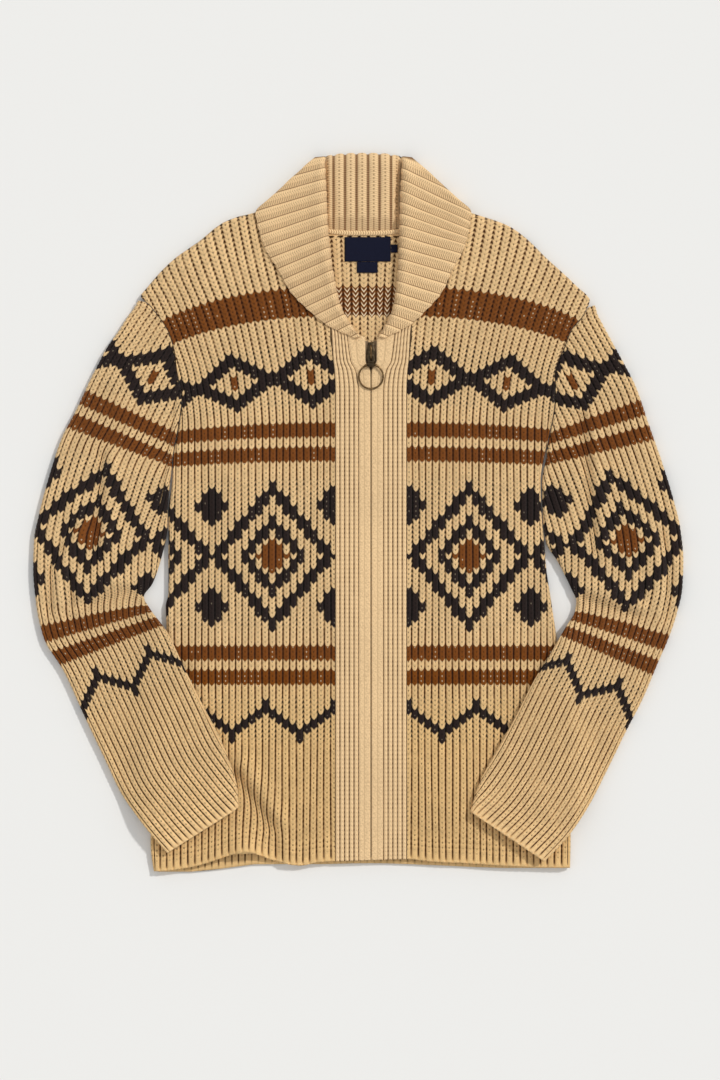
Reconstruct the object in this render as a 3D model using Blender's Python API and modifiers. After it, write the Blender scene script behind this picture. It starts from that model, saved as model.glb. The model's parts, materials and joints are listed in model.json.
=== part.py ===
"""Rib-knit cardigan with a zip front and a shawl collar, lying flat with its front up.

Tables are in millimetres. x runs across the garment from the zip line, +x to the wearer's left;
y runs from hem to collar; z is up from the surface it lies on. Left and right are the wearer's.
"""
import math

import bmesh
import bpy
from mathutils import Vector

MM = 0.001

# ---------------------------------------------------------------- driving dimensions
WALL = 3.4            # thickness of the chunky rib knit
SEAM = 0.3            # gap kept between sewn pieces
LIE_GAP = 2.6         # air between the back and the fronts lying on it
BODY_H = 2 * WALL + LIE_GAP
ROLL = (BODY_H - SEAM) / 2     # radius of the rolled side, shoulder and seam edges
BAND_T = 3.0          # front band thickness
BAND_TOP = 10.3       # top face of the front bands
TAPE_T, TAPE_Z, TAPE_IN, TAPE_OUT = 0.8, 5.7, 3.4, 16.0
CHAIN_W, CHAIN_Z0, CHAIN_Z1 = 6.2, 5.0, 6.8
ZIP_TOP, ZIP_FOOT = 180.0, -366.0
SLIDER_L, SLIDER_W = 22.0, 9.6
RING_R, RING_WIRE = 12.85, 1.9
COLLAR_AXIS = [(150, -1.0), (184, -1.6), (197, -2.7), (240, -5.3), (293, -7.4), (318, -8.0), (400, -8.0)]  # y, x
CLIMB_FOOT, CLIMB_TOP = 38.0, 3.0     # where a sleeve starts and stops climbing, out from the body's side
HEM_Y = -370.0
HEM_BLEND = -270.0    # below this the rows bend to follow the hem line

# Edge of the laid body on each side. y: height up the garment, x: distance from the zip line,
# roll: how far the edge turns down towards the seam, in degrees (90 is a full rolled fold).
BODY_EDGE = {
    -1: [(331, 75, 90), (318, 123, 90), (311, 149, 90), (287, 183, 90), (266, 212, 90), (240, 236, 90),
         (229, 244, 60), (219, 234, 25), (190, 214, 25), (174, 209, 32), (145, 205, 42), (123, 200, 55),
         (90, 204, 76), (56, 210, 87), (32, 211, 90), (1, 215, 90), (-46, 215, 90), (-86, 215, 90),
         (-100, 218, 90), (-126, 217, 90), (-199, 223, 90), (-273, 229, 90), (-341, 234, 90), (-384, 228, 90)],
    1: [(331, 60, 90), (318, 105, 90), (303, 147, 90), (267, 189, 90), (240, 218, 90),
        (225, 232, 60), (209, 225, 25), (193, 212, 25), (175, 205, 32), (159, 198, 37), (145, 195, 42),
        (120, 195, 56), (76, 188, 78), (32, 180, 90), (1, 181, 90), (-32, 184, 90), (-59, 186, 90),
        (-86, 190, 90), (-113, 194, 90), (-126, 196, 90), (-199, 202, 90), (-284, 209, 90), (-339, 212, 90),
        (-380, 211, 90)],
}
# Hem line of the fronts and of the back: x, y
HEM_FRONT = [(-240, -381), (-228, -381), (-193, -377), (-165, -369), (-145, -362), (-133, -359), (-125, -361),
             (-105, -369), (-75, -375), (-54, -371), (-32, -370), (0, -369), (41, -368), (66, -371), (94, -372),
             (141, -375), (195, -377), (211, -377), (220, -377)]
HEM_BACK = [(-240, -382), (-190, -382), (-152, -378), (-119, -374), (-60, -374), (0, -373), (66, -375),
            (141, -378), (220, -378)]
# Neckline from the band to the shoulder, half widths from the collar's axis: y, half width
NECK_FRONT = [(184, 6.0), (198, 42.0), (213, 52.0), (236, 64.5), (270, 73.0), (300, 76.5), (330, 77.5)]
NECK_BACK = [(296.5, 0.0), (299, 38.0), (306, 62.0), (315, 72.0), (330, 77.5)]
# Front band: y, inner edge, outer edge, from the zip line
BAND = [(183, 6.5, 43.0), (178, 6.0, 42.0), (160, 5.9, 40.2), (154, 3.6, 39.4), (147, 1.1, 38.8),
        (138, 0.5, 38.3), (120, 0.5, 38.0), (-300, 0.5, 38.0), (HEM_Y, 0.5, 38.0)]
# Soft folds in the fronts: from (x0, y0) to (x1, y1), width either side, height (minus is a trough)
BODY_FOLDS = [(-132, -362, -132, -358, 22, 1.3), (-100, -372, -112, -320, 9, -1.6),
              (186, 70, 178, -20, 16, -1.0), (-150, 110, -138, 190, 34, 0.8), (110, 60, 95, -60, 45, 0.8),
              (-120, 40, -135, -120, 45, 0.7), (120, -200, 130, -330, 40, 0.7)]

# Sleeves, a row for each course line across the flattened tube, from the shoulder to the cuff.
# ox, oy: outer fold; ix, iy: armhole seam or inner fold; roll: how far the inner edge turns down;
# h: height of the tube; climb: share of the body's height that the row rises by where it lies on it
SLEEVE = {
    -1: [(-248, 224.6, -238.3, 222.6, 28, 8.2, 0), (-250, 219, -230.4, 212.5, 28, 9.4, 0),
         (-258, 208, -218.5, 194.0, 26, 9.6, 0), (-268, 192, -210.8, 172, 34, 10, 0),
         (-279, 177, -204.2, 140, 46, 10.2, 0), (-296, 145, -202.6, 100, 58, 10.2, 0),
         (-313, 109, -209.3, 64, 90, 10.2, 0), (-328, 80, -212.2, 40, 90, 10.2, 0),
         (-340, 45, -215.2, 12, 90, 10.2, 0), (-352, 1, -216.2, -19, 90, 10.2, 0),
         (-358, -30, -222, -47, 90, 10.2, 0), (-359, -61, -232, -76, 90, 10.2, 0),
         (-356, -96, -241, -90, 90, 10.2, 0.1), (-348, -133, -234, -103, 90, 10.2, 0.6),
         (-326, -170, -217, -125, 90, 10.2, 1), (-304, -218, -196, -168, 90, 10.2, 1),
         (-285, -258, -179, -202, 90, 10.2, 1), (-264, -301, -158, -243, 90, 10.2, 1),
         (-247, -324, -147, -272, 90, 10.2, 1), (-231, -344, -141, -294, 90, 10.2, 1),
         (-216, -361, -140, -313, 90, 10.2, 1)],
    1: [(238.5, 219.5, 229.4, 217.2, 28, 8.2, 0), (240, 212, 221.5, 203.5, 28, 9.4, 0),
        (248, 196, 209.5, 184, 28, 9.6, 0), (256, 181, 203.5, 170, 34, 10, 0),
        (266, 163, 196.2, 135, 47, 10.2, 0), (281, 134, 193.2, 98, 58, 10.2, 0),
        (296, 91, 186.9, 62, 90, 10.2, 0), (309, 54, 181.6, 30, 90, 10.2, 0),
        (321, 15, 182.2, -2, 90, 10.2, 0), (329, -19, 185.6, -31, 90, 10.2, 0),
        (332, -51, 199, -54, 90, 10.2, 0), (331, -80, 212, -80, 90, 10.2, 0),
        (325, -108, 218, -95, 90, 10.2, 0.1), (317, -132, 216, -106, 90, 10.2, 0.6),
        (305, -160, 206, -122, 90, 10.2, 1), (289, -198, 190, -149, 90, 10.2, 1),
        (272, -231, 172, -179, 90, 10.2, 1), (254, -268, 152, -218, 90, 10.2, 1),
        (235, -305, 134, -250, 90, 10.2, 1), (210, -342, 114, -288, 90, 10.2, 1),
        (184, -370, 105, -317, 90, 10.2, 1)],
}
# Soft folds in the upper layer of the sleeves, as in BODY_FOLDS
SLEEVE_FOLDS = {
    -1: [(-291, 60, -296, -60, 10, -1.3), (-345, -60, -330, -130, 9, -1.2), (-243, -92, -318, -112, 8, -1.4),
         (-270, 120, -262, 20, 22, 0.9), (-250, -240, -195, -310, 26, 0.8)],
    1: [(232, 104, 250, -20, 11, -1.3), (318, -50, 312, -130, 9, -1.2), (218, -96, 290, -118, 8, -1.4),
        (285, 80, 290, -40, 22, 0.9), (225, -240, 165, -300, 26, 0.8)],
}
# Turned-over collar, half of it: roll line and outer edge as half widths from the collar's axis
# (rx, ry) and (ex, ey); heights of its top at the roll (zr) and at the outer edge (ze)
COLLAR = [(40, 377, 48, 380, 13, 10), (40, 367, 62, 367.5, 17.5, 13), (39.5, 355, 97, 335, 19, 14),
          (38.5, 339, 115, 317, 19.5, 14), (38, 319, 112.5, 301, 19.5, 13.6), (37, 297, 106, 279, 19, 13.5),
          (35.5, 273, 93, 256.5, 18.5, 13.4), (32.5, 247, 81, 233, 18, 13.4), (28, 222, 63.5, 214, 17, 13.4),
          (20, 203, 43.5, 197, 15.5, 13.4), (8.5, 186, 17.5, 184.3, 14.2, 13.4)]
# Back of the collar, seen from inside the neck: y, z of its upper face, from the neck seam to the fold
STAND = [(297.2, 3.6), (312, 8.0), (335, 10.5), (358, 12.0), (373, 12.2), (378.5, 9.8), (381.3, 6.0), (378, 1.6)]

COLOURS = {           # linear base colour, roughness, metallic
    "knit": ((0.60, 0.42, 0.23), 0.92, 0.0), "collar": ((0.58, 0.41, 0.23), 0.92, 0.0),
    "band": ((0.61, 0.44, 0.25), 0.92, 0.0), "tape": ((0.40, 0.30, 0.18), 0.85, 0.0),
    "brass": ((0.16, 0.11, 0.05), 0.38, 1.0), "label": ((0.012, 0.018, 0.045), 0.70, 0.0),
}


# ---------------------------------------------------------------- interpolation
def slopes(xs, ys):
    """Monotone slopes at the rows of a table, for a cubic curve without overshoot."""
    n = len(xs)
    d = [(ys[i + 1] - ys[i]) / (xs[i + 1] - xs[i]) for i in range(n - 1)]
    m = [d[0]] + [0.0] * (n - 2) + [d[-1]]
    for i in range(1, n - 1):
        if d[i - 1] * d[i] > 0:
            a, b = xs[i] - xs[i - 1], xs[i + 1] - xs[i]
            w1, w2 = 2 * b + a, b + 2 * a
            m[i] = (w1 + w2) / (w1 / d[i - 1] + w2 / d[i])
    return m


def follow(xs, ys, x):
    """Value and slope at x of the smooth curve through the table's rows."""
    if xs[0] > xs[-1]:
        xs, ys = xs[::-1], ys[::-1]
    m = slopes(xs, ys)
    x = min(max(x, xs[0]), xs[-1])
    i = max(0, min(len(xs) - 2, sum(1 for v in xs if v <= x) - 1))
    h = xs[i + 1] - xs[i]
    t = (x - xs[i]) / h
    a, b = ys[i], ys[i + 1]
    value = ((1 + 2 * t) * (1 - t) ** 2 * a + t * (1 - t) ** 2 * h * m[i]
             + t * t * (3 - 2 * t) * b + t * t * (t - 1) * h * m[i + 1])
    slope = ((6 * t * t - 6 * t) * a / h + (3 * t * t - 4 * t + 1) * m[i]
             + (6 * t - 6 * t * t) * b / h + (3 * t * t - 2 * t) * m[i + 1])
    return value, slope


def column(table, i):
    return [row[i] for row in table]


def axis_at(y):
    return follow(column(COLLAR_AXIS, 0), column(COLLAR_AXIS, 1), y)[0]


def ease(a, b, x):
    t = min(max((x - a) / (b - a), 0.0), 1.0)
    return t * t * (3 - 2 * t)


def folds(table, x, y):
    """Height that the soft folds add at (x, y), each a rounded ridge or trough along a line."""
    total = 0.0
    for x0, y0, x1, y1, width, height in table:
        dx, dy = x1 - x0, y1 - y0
        length = math.hypot(dx, dy)
        along = ((x - x0) * dx + (y - y0) * dy) / length
        across = ((x - x0) * dy - (y - y0) * dx) / length
        past = max(0.0, -along, along - length)
        total += height * math.exp(-(across / width) ** 2 - (past / (1.4 * width)) ** 2)
    return total


# ---------------------------------------------------------------- body panels
def body_edge(side, y):
    """Distance of the laid edge from the zip line, its slope with y, and its roll in radians."""
    table = BODY_EDGE[side]
    x, slope = follow(column(table, 0), column(table, 1), y)
    roll = follow(column(table, 0), column(table, 2), y)[0]
    return x, slope, math.radians(roll)


def inner_edge(side, y, front):
    """x of a panel's inner edge: the band or the neckline on a front, the middle or neckline on the back."""
    if front and y <= 183:
        return side * (follow(column(BAND, 0), column(BAND, 2), y)[0] + SEAM)
    table = NECK_FRONT if front else NECK_BACK
    if not front and y <= table[0][0]:
        return axis_at(296.5)
    half = follow(column(table, 0), column(table, 1), y)[0]
    x = axis_at(y) + side * half
    if front:
        x = side * max(side * x, 43.3)
    return x


def panel_point(side, x, y, front, hem_shift):
    """A point of a panel's outer face from its flat place, and the point of its inner face behind
    it: the edges roll down to the seam."""
    edge, slope, roll = body_edge(side, y)
    nx = 1.0 / math.sqrt(1 + slope * slope)
    start = ROLL * math.sin(roll)
    d = (side * x - edge) * nx + start
    z = BODY_H if front else 0.0
    up = 1.0 if front else -1.0
    turn = 0.0
    if front:
        z += folds(BODY_FOLDS, x, y + hem_shift) * ease(0, 26, -d)
    if d > 0:
        turn = min(d / ROLL, roll)
        move = ROLL * math.sin(turn) - d
        x += side * nx * move
        y += -slope * nx * move
        z -= up * ROLL * (1 - math.cos(turn))
    outer = (x, y + hem_shift, z)
    lean = WALL * math.sin(turn)
    return outer, (x - side * nx * lean, y + hem_shift + slope * nx * lean, z - up * WALL * math.cos(turn))


def row_columns(side, y, front):
    """Flat x places across one row: even over the flat part, closer over the rolled edge."""
    edge, slope, roll = body_edge(side, y)
    nx = 1.0 / math.sqrt(1 + slope * slope)
    inner = abs(inner_edge(side, y, front)) if front else side * inner_edge(side, y, front)
    start = edge - ROLL * math.sin(roll) / nx
    end = start + ROLL * roll / nx
    start = max(start, inner + 0.35 * (end - inner))
    steps = (0, 0.37, 0.51, 0.65, 0.92) if front else (0, 0.33, 0.66, 0.92)
    flat = [inner + (start - inner) * t for t in steps]
    return [side * v for v in flat + [start + (end - start) * t for t in (0, 0.4, 0.75, 0.95, 1)]]


ROWS_FRONT = [325, 320, 312, 300, 284, 264, 244, 233, 226, 220, 211, 198, 184.5, 182.9, 160, 140, 120, 100,
              70, 36, 0, -50, -90, -130, -190, -250, -290, -322, -340, -355, HEM_Y]
ROWS_BACK = [325, 321, 316, 310, 304, 300, 297.5, 296.4, 284, 264, 244, 233, 226, 220, 211, 198, 180, 160,
             140, 120, 100, 70, 36, 0, -50, -90, -130, -190, -250, -290, -320, -345, HEM_Y]


def panel_rows(side, front):
    hem = HEM_FRONT if front else HEM_BACK
    rows = []
    for y in (ROWS_FRONT if front else ROWS_BACK):
        share = ease(HEM_BLEND, HEM_Y, y) if y < HEM_BLEND else 0.0
        row = []
        for x in row_columns(side, y, front):
            shift = share * (follow(column(hem, 0), column(hem, 1), x)[0] - HEM_Y)
            row.append(panel_point(side, x, y, front, shift))
        rows.append(row)
    return rows


# ---------------------------------------------------------------- sleeves
def body_rise(side, x, y):
    """How far a sleeve is lifted where it lies on the body: up over the rolled side, then level."""
    edge = body_edge(side, max(y, -370))[0]
    return (BODY_H + 1.1) * ease(edge + CLIMB_FOOT, edge + CLIMB_TOP, side * x)


def sleeve_line(side, place):
    """The sleeve's row at a place in its table. Down to the underarm its inner edge is the armhole
    seam, just outside the body's edge."""
    table = SLEEVE[side]
    row = [follow(list(range(len(table))), column(table, k), place)[0] for k in range(7)]
    edge, slope, _ = body_edge(side, row[3])
    out = edge + (SEAM + 0.5) * math.sqrt(1 + slope * slope)
    if row[4] < 89.9 or (row[6] < 0.001 and side * row[2] < out):
        row[2] = side * out
    return row


def sleeve_row(side, place):
    """The row with its width, its direction, and the direction square to the inner edge there."""
    row = sleeve_line(side, place)
    above, below = sleeve_line(side, max(place - 0.2, 0)), sleeve_line(side, min(place + 0.2, len(SLEEVE[side]) - 1))
    wide = math.hypot(row[2] - row[0], row[3] - row[1])
    ux, uy = (row[2] - row[0]) / wide, (row[3] - row[1]) / wide
    tx, ty = below[2] - above[2], below[3] - above[3]
    length = math.hypot(tx, ty)
    nx, ny = ty / length, -tx / length
    if nx * ux + ny * uy < 0:
        nx, ny = -nx, -ny
    square = nx * ux + ny * uy
    if square < 0.55:
        nx, ny, square = ux, uy, 1.0
    return row + [wide, ux, uy, nx, ny, square]


def sleeve_point(side, row, turn):
    """A point of a sleeve's outer face, and the point of its inner face behind it. turn runs from
    -1 (under the inner edge) through 0 (outer fold) to 1 (top of the inner edge)."""
    ox, oy, ix, iy, roll, h, climb, wide, ux, uy, nx, ny, square = row
    roll = math.radians(roll)
    r = h / 2
    quarter = math.pi * r / 2
    start = wide - r * math.sin(roll) / square
    s = abs(turn) * (quarter + start - r + r * roll / square)
    move = 0.0
    if s <= quarter:
        e, up, out = r * (1 - math.cos(s / r)), math.sin(s / r), (-ux * math.cos(s / r), -uy * math.cos(s / r))
    else:
        e, up, out = r + s - quarter, 1.0, (0.0, 0.0)
        if e > start:
            a = (e - start) * square
            up, out = math.cos(a / r), (nx * math.sin(a / r), ny * math.sin(a / r))
            move = r * math.sin(a / r) - a
    x, y = ox + ux * e + nx * move, oy + uy * e + ny * move
    z = r + climb * body_rise(side, x, y)
    if turn > 0:
        z += folds(SLEEVE_FOLDS[side], x, y) * ease(0, 22, e - 2) * ease(0, 22, wide - e - 2) * up
    face = 1.0 if turn > 0 else -1.0
    return ((x, y, z + face * r * up),
            (x - WALL * out[0], y - WALL * out[1], z + face * (r - WALL) * up))


def sleeve_ring(side, row, roll_steps=2):
    """Turn values round one row: even over the rolled edges, and over the flat faces with a step
    either side of the slope where the sleeve climbs onto the body."""
    roll, r, wide, square = math.radians(row[4]), row[5] / 2, row[7], row[12]
    quarter, flat = math.pi * r / 2, wide - r - r * math.sin(roll) / square
    way = quarter + flat + r * roll / square
    edge = body_edge(side, max((row[1] + row[3]) / 2, -370))[0]
    run = side * (row[0] - row[2])
    foot = min(max((side * row[0] - edge - CLIMB_FOOT) / run, 0.08), 0.6)
    top = min(max((side * row[0] - edge - CLIMB_TOP) / run, foot + 0.2), 0.92)
    half = [quarter * k / roll_steps for k in range(roll_steps)]
    half += [quarter + flat * t for t in (0, foot, (2 * foot + top) / 3, (foot + 2 * top) / 3, top)]
    half += [quarter + flat + r * roll / square * t for t in (0, 0.5, 0.92, 1)]
    return [-v / way for v in half[:0:-1]] + [v / way for v in half]


# ---------------------------------------------------------------- making objects
def finish(name, mesh, place, colour, collection):
    obj = bpy.data.objects.new(name, mesh)
    collection.objects.link(obj)
    obj.location = place
    mat = bpy.data.materials.get(colour)
    if mat is None:
        mat = bpy.data.materials.new(colour)
        mat.use_nodes = True
        base, rough, metal = COLOURS[colour]
        shader = mat.node_tree.nodes["Principled BSDF"]
        shader.inputs["Base Color"].default_value = (*base, 1)
        shader.inputs["Roughness"].default_value = rough
        shader.inputs["Metallic"].default_value = metal
        mat.diffuse_color = (*base, 1)
    mesh.materials.clear()
    mesh.materials.append(mat)
    return obj


def shell_mesh(name, rows, close_from=None):
    """Closed wall through rows of (outer, inner) points. close_from: the rows from this one on are
    rings, whose last point is their first."""
    bm = bmesh.new()
    outer, inner = [], []
    for i, row in enumerate(rows):
        for skin, points in zip((outer, inner), zip(*row)):
            verts = [bm.verts.new([c * MM for c in p]) for p in points]
            if close_from is not None and i >= close_from:
                bm.verts.remove(verts[-1])
                verts[-1] = verts[0]
            skin.append(verts)
    for skin in (outer, inner):
        for a, b in zip(skin, skin[1:]):
            for j in range(len(a) - 1):
                quad = [a[j], a[j + 1], b[j + 1], b[j]]
                bm.faces.new(quad if skin is outer else quad[::-1])
    for i in range(len(rows) - 1 if close_from is None else close_from):
        for j in (0, -1):
            quad = [outer[i][j], outer[i + 1][j], inner[i + 1][j], inner[i][j]]
            bm.faces.new(quad)
    for i in (0, -1):
        for j in range(len(outer[i]) - 1):
            bm.faces.new([outer[i][j], outer[i][j + 1], inner[i][j + 1], inner[i][j]])
    bmesh.ops.recalc_face_normals(bm, faces=bm.faces[:])
    mesh = bpy.data.meshes.new(name)
    bm.to_mesh(mesh)
    bm.free()
    mesh.shade_smooth()
    return mesh


def solid_loft(name, sections):
    """Closed solid through closed sections that all have the same number of points."""
    bm = bmesh.new()
    rings = [[bm.verts.new([c * MM for c in p]) for p in s] for s in sections]
    n = len(rings[0])
    for a, b in zip(rings, rings[1:]):
        for j in range(n):
            k = (j + 1) % n
            bm.faces.new([a[j], a[k], b[k], b[j]])
    bm.faces.new(rings[0][::-1])
    bm.faces.new(rings[-1])
    bmesh.ops.triangulate(bm, faces=[f for f in bm.faces if len(f.verts) > 4])
    bmesh.ops.recalc_face_normals(bm, faces=bm.faces[:])
    mesh = bpy.data.meshes.new(name)
    bm.to_mesh(mesh)
    bm.free()
    mesh.shade_smooth()
    return mesh


def outline(name, loops, half, bevel=0.0):
    """Flat plate from closed outlines in the plane, half its thickness either side of it."""
    curve = bpy.data.curves.new(name, "CURVE")
    curve.dimensions = "2D"
    curve.fill_mode = "BOTH"
    curve.extrude = half * MM
    curve.bevel_depth = bevel * MM
    curve.bevel_resolution = 0
    for loop in loops:
        spline = curve.splines.new("POLY")
        spline.points.add(len(loop) - 1)
        for point, (x, y) in zip(spline.points, loop):
            point.co = (x * MM, y * MM, 0, 1)
        spline.use_cyclic_u = True
    return curve


def wire(name, points, radius, cyclic=False, sides=3):
    curve = bpy.data.curves.new(name, "CURVE")
    curve.dimensions = "3D"
    curve.bevel_depth = radius * MM
    curve.bevel_resolution = sides
    curve.use_fill_caps = True
    spline = curve.splines.new("POLY")
    spline.points.add(len(points) - 1)
    for point, co in zip(spline.points, points):
        point.co = (*[c * MM for c in co], 1)
    spline.use_cyclic_u = cyclic
    return curve


def to_mesh(name, curve, matrix=None):
    """A curve's evaluated mesh, with its caps welded."""
    holder = bpy.data.objects.new(name + "_curve", curve)
    bpy.context.scene.collection.objects.link(holder)
    graph = bpy.context.evaluated_depsgraph_get()
    mesh = bpy.data.meshes.new_from_object(holder.evaluated_get(graph))
    bpy.data.objects.remove(holder)
    bm = bmesh.new()
    bm.from_mesh(mesh)
    bmesh.ops.remove_doubles(bm, verts=bm.verts[:], dist=0.00001)
    bmesh.ops.recalc_face_normals(bm, faces=bm.faces[:])
    if matrix is not None:
        bm.transform(matrix)
    bm.to_mesh(mesh)
    bm.free()
    mesh.name = name
    return mesh


def helper(name, mesh, collection):
    obj = bpy.data.objects.new(name, mesh)
    collection.objects.link(obj)
    obj.hide_render = True
    obj.display_type = "WIRE"
    return obj


def boolean(obj, other, operation):
    mod = obj.modifiers.new(operation.title(), "BOOLEAN")
    mod.operation = operation
    mod.solver = "EXACT"
    mod.object = other
    return mod


def bake(obj):
    """Turn the evaluated mesh into the object's own, so that it can be used in another cut."""
    graph = bpy.context.evaluated_depsgraph_get()
    mesh = bpy.data.meshes.new_from_object(obj.evaluated_get(graph))
    obj.modifiers.clear()
    obj.data = mesh
    return mesh


def raised(curve, z):
    from mathutils import Matrix
    return to_mesh(curve.name, curve, Matrix.Translation((0, 0, z * MM)))


# ---------------------------------------------------------------- the garment
def make_body(parts):
    for name, side in (("front_right", -1), ("front_left", 1)):
        finish(name, shell_mesh(name, panel_rows(side, True)), (0, 0, 0), "knit", parts)
    # The back is one piece: its halves are welded on the middle below the neckline
    bm = bmesh.new()
    for side in (-1, 1):
        half = shell_mesh("half", panel_rows(side, False))
        bm.from_mesh(half)
        bpy.data.meshes.remove(half)
    bmesh.ops.remove_doubles(bm, verts=bm.verts[:], dist=0.00002)
    middle = axis_at(296.5) * MM
    inside = [f for f in bm.faces if all(abs(v.co.x - middle) < 0.00001 for v in f.verts)]
    bmesh.ops.delete(bm, geom=inside, context="FACES")
    bmesh.ops.recalc_face_normals(bm, faces=bm.faces[:])
    mesh = bpy.data.meshes.new("back")
    bm.to_mesh(mesh)
    bm.free()
    mesh.shade_smooth()
    finish("back", mesh, (0, 0, 0), "knit", parts)


def make_sleeves(parts):
    for name, side in (("sleeve_right", -1), ("sleeve_left", 1)):
        table = SLEEVE[side]
        first_ring = next(i for i, row in enumerate(table) if row[4] >= 90)
        places = sorted([float(i) for i in range(len(table))] + [i + 0.5 for i in (2, 3, 4, 11, 12, 13, 14, 15)])
        rows, closed = [], None
        for place in places:
            row = sleeve_row(side, place)
            row[4] = 90 if place >= first_ring else min(row[4], 60)
            if place >= first_ring and closed is None:
                closed = len(rows)
            rows.append([sleeve_point(side, row, turn) for turn in sleeve_ring(side, row)])
        finish(name, shell_mesh(name, rows, closed), (0, 0, 0), "knit", parts)


def make_bands(parts):
    for name, side in (("band_right", -1), ("band_left", 1)):
        rows = []
        for y in (183, 178, 169, 160, 154, 147, 138, 120, 60, -20, -100, -180, -240, -300, -340, HEM_Y):
            inner = follow(column(BAND, 0), column(BAND, 1), y)[0]
            outer = follow(column(BAND, 0), column(BAND, 2), y)[0]
            row = []
            for t, drop in ((0, 0.6), (0.025, 0), (0.5, 0), (0.975, 0), (1, 0.6)):
                x = side * (inner + (outer - inner) * t)
                end = y
                if y == 183:
                    end = y + 10.0 * t ** 1.3
                if y == HEM_Y:
                    end = follow(column(HEM_FRONT, 0), column(HEM_FRONT, 1), x)[0]
                row.append(((x, end, BAND_TOP - drop), (x, end, BAND_TOP - BAND_T)))
            rows.append(row)
        finish(name, shell_mesh(name, rows), (0, 0, 0), "band", parts)


def collar_section(side, row):
    """Closed section of the turned-over collar, whose hidden layers share one solid."""
    rx, ry, ex, ey, zr, ze = row
    length = math.hypot(ex - rx, ey - ry)
    k = min(1.0, length / 22)

    def at(p, z):
        t = p / length
        y = ry + (ey - ry) * t
        x = rx + (ex - rx) * t
        return (axis_at(y) + side * x, y, z)

    fall = zr - ze
    return [at(0.6, -2.0), at(0.0, zr - 7.5), at(1.7 * k, zr - 2.4), at(5.4 * k, zr),
            at(0.25 * (length - 3.2 * k) + 4.2 * k, zr - 0.28 * fall), at(0.62 * (length - 3.2 * k) + 2.2 * k, zr - 0.7 * fall),
            at(length - 3.2 * k, ze), at(length - 0.9 * k, ze - 0.9), at(length, ze - 2.2), at(length - 0.4, -2.0)]


def make_collar(parts, cutters):
    back = []
    for x in (-51, -36, -22, -8, 6, 20, 35):
        section = [(x, 297.2, -2.0)] + [(x, y, z) for y, z in STAND] + [(x, 377.5, -2.0)]
        back.append(section)
    collar = finish("collar", solid_loft("collar", back), (0, 0, 0), "collar", parts)
    for side in (-1, 1):
        places = [k / 2 for k in range(4, 2 * len(COLLAR) - 1)]
        rows = [[follow(list(range(len(COLLAR))), column(COLLAR, k), place)[0] for k in range(6)] for place in [0, 1] + places]
        flap = solid_loft("flap", [collar_section(side, row) for row in rows])
        obj = helper("flap_%s" % ("right" if side < 0 else "left"), flap, cutters)
        boolean(collar, obj, "UNION")
        bake(collar)
    # The floor and the panels beneath are cut away
    shoulder = {side: [] for side in (-1, 1)}
    for side in (-1, 1):
        edge = []
        for y in (231, 240, 252, 266, 276, 287, 296, 303, 311, 318, 323, 326.5):
            x, slope, _ = body_edge(side, y)
            nx = 1 / math.sqrt(1 + slope * slope)
            edge.append((side * (x + 0.5 * nx), y + 0.5 * slope * -nx))
        neck = []
        for y in [329] + ROWS_FRONT[:12]:
            half = follow(column(NECK_FRONT, 0), column(NECK_FRONT, 1), y)[0]
            neck.append((axis_at(y) + side * (half - 0.5), y))
        top = [(side * 42.5, 193.9), (side * 30, 190.4), (side * 18, 187.2), (side * 6.0, 184.0), (side * 5.0, 150)]
        loop = edge + neck + top + [(side * 250, 150)]
        for label, z0, z1, pts in (("front", -20, BODY_H + 0.5, loop),):
            curve = outline("cut_%s_%d" % (label, side), [pts], (z1 - z0) / 2)
            obj = helper(curve.name, raised(curve, (z0 + z1) / 2), cutters)
            boolean(collar, obj, "DIFFERENCE")
            bake(collar)
        band = [(side * 4.4, 150), (side * 44.4, 150), (side * 44.0, 193.9), (side * 30, 190.4), (side * 18, 187.2),
                (side * 6.0, 184.0), (side * 4.4, 183.9)]
        curve = outline("cut_band_%d" % side, [band], 20)
        obj = helper(curve.name, raised(curve, BAND_TOP + 0.45 - 20), cutters)
        boolean(collar, obj, "DIFFERENCE")
        bake(collar)
    neck = []
    for side, rows in ((-1, ROWS_BACK[:7]), (1, ROWS_BACK[6::-1])):
        for y in rows:
            half = follow(column(NECK_BACK, 0), column(NECK_BACK, 1), y)[0]
            neck.append((axis_at(y) + side * (half - 0.4), y + 0.6))
    neck = [(-95, 330.5)] + neck + [(90, 330.5), (150, 140), (-150, 140)]
    curve = outline("cut_back", [neck], 12)
    obj = helper(curve.name, raised(curve, WALL + 0.5 - 12), cutters)
    boolean(collar, obj, "DIFFERENCE")
    bake(collar)
    curve = outline("cut_floor", [[(-300, 100), (300, 100), (300, 500), (-300, 500)]], 20)
    obj = helper(curve.name, raised(curve, -20), cutters)
    boolean(collar, obj, "DIFFERENCE")
    bake(collar)


def slab(name, x0, x1, y0, y1, z0, z1, colour, parts, bevel=0.0, size=1):
    bm = bmesh.new()
    bmesh.ops.create_cube(bm, size=1.0)
    for v in bm.verts:
        v.co = Vector(((x0 + x1) / 2 + v.co.x * (x1 - x0), (y0 + y1) / 2 + v.co.y * (y1 - y0),
                       (z0 + z1) / 2 + v.co.z * (z1 - z0))) * MM
    mesh = bpy.data.meshes.new(name)
    bm.to_mesh(mesh)
    bm.free()
    obj = finish(name, mesh, (0, 0, 0), colour, parts)
    if bevel:
        mod = obj.modifiers.new("Edge", "BEVEL")
        mod.width = bevel * MM
        mod.segments = size
    return obj


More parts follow.
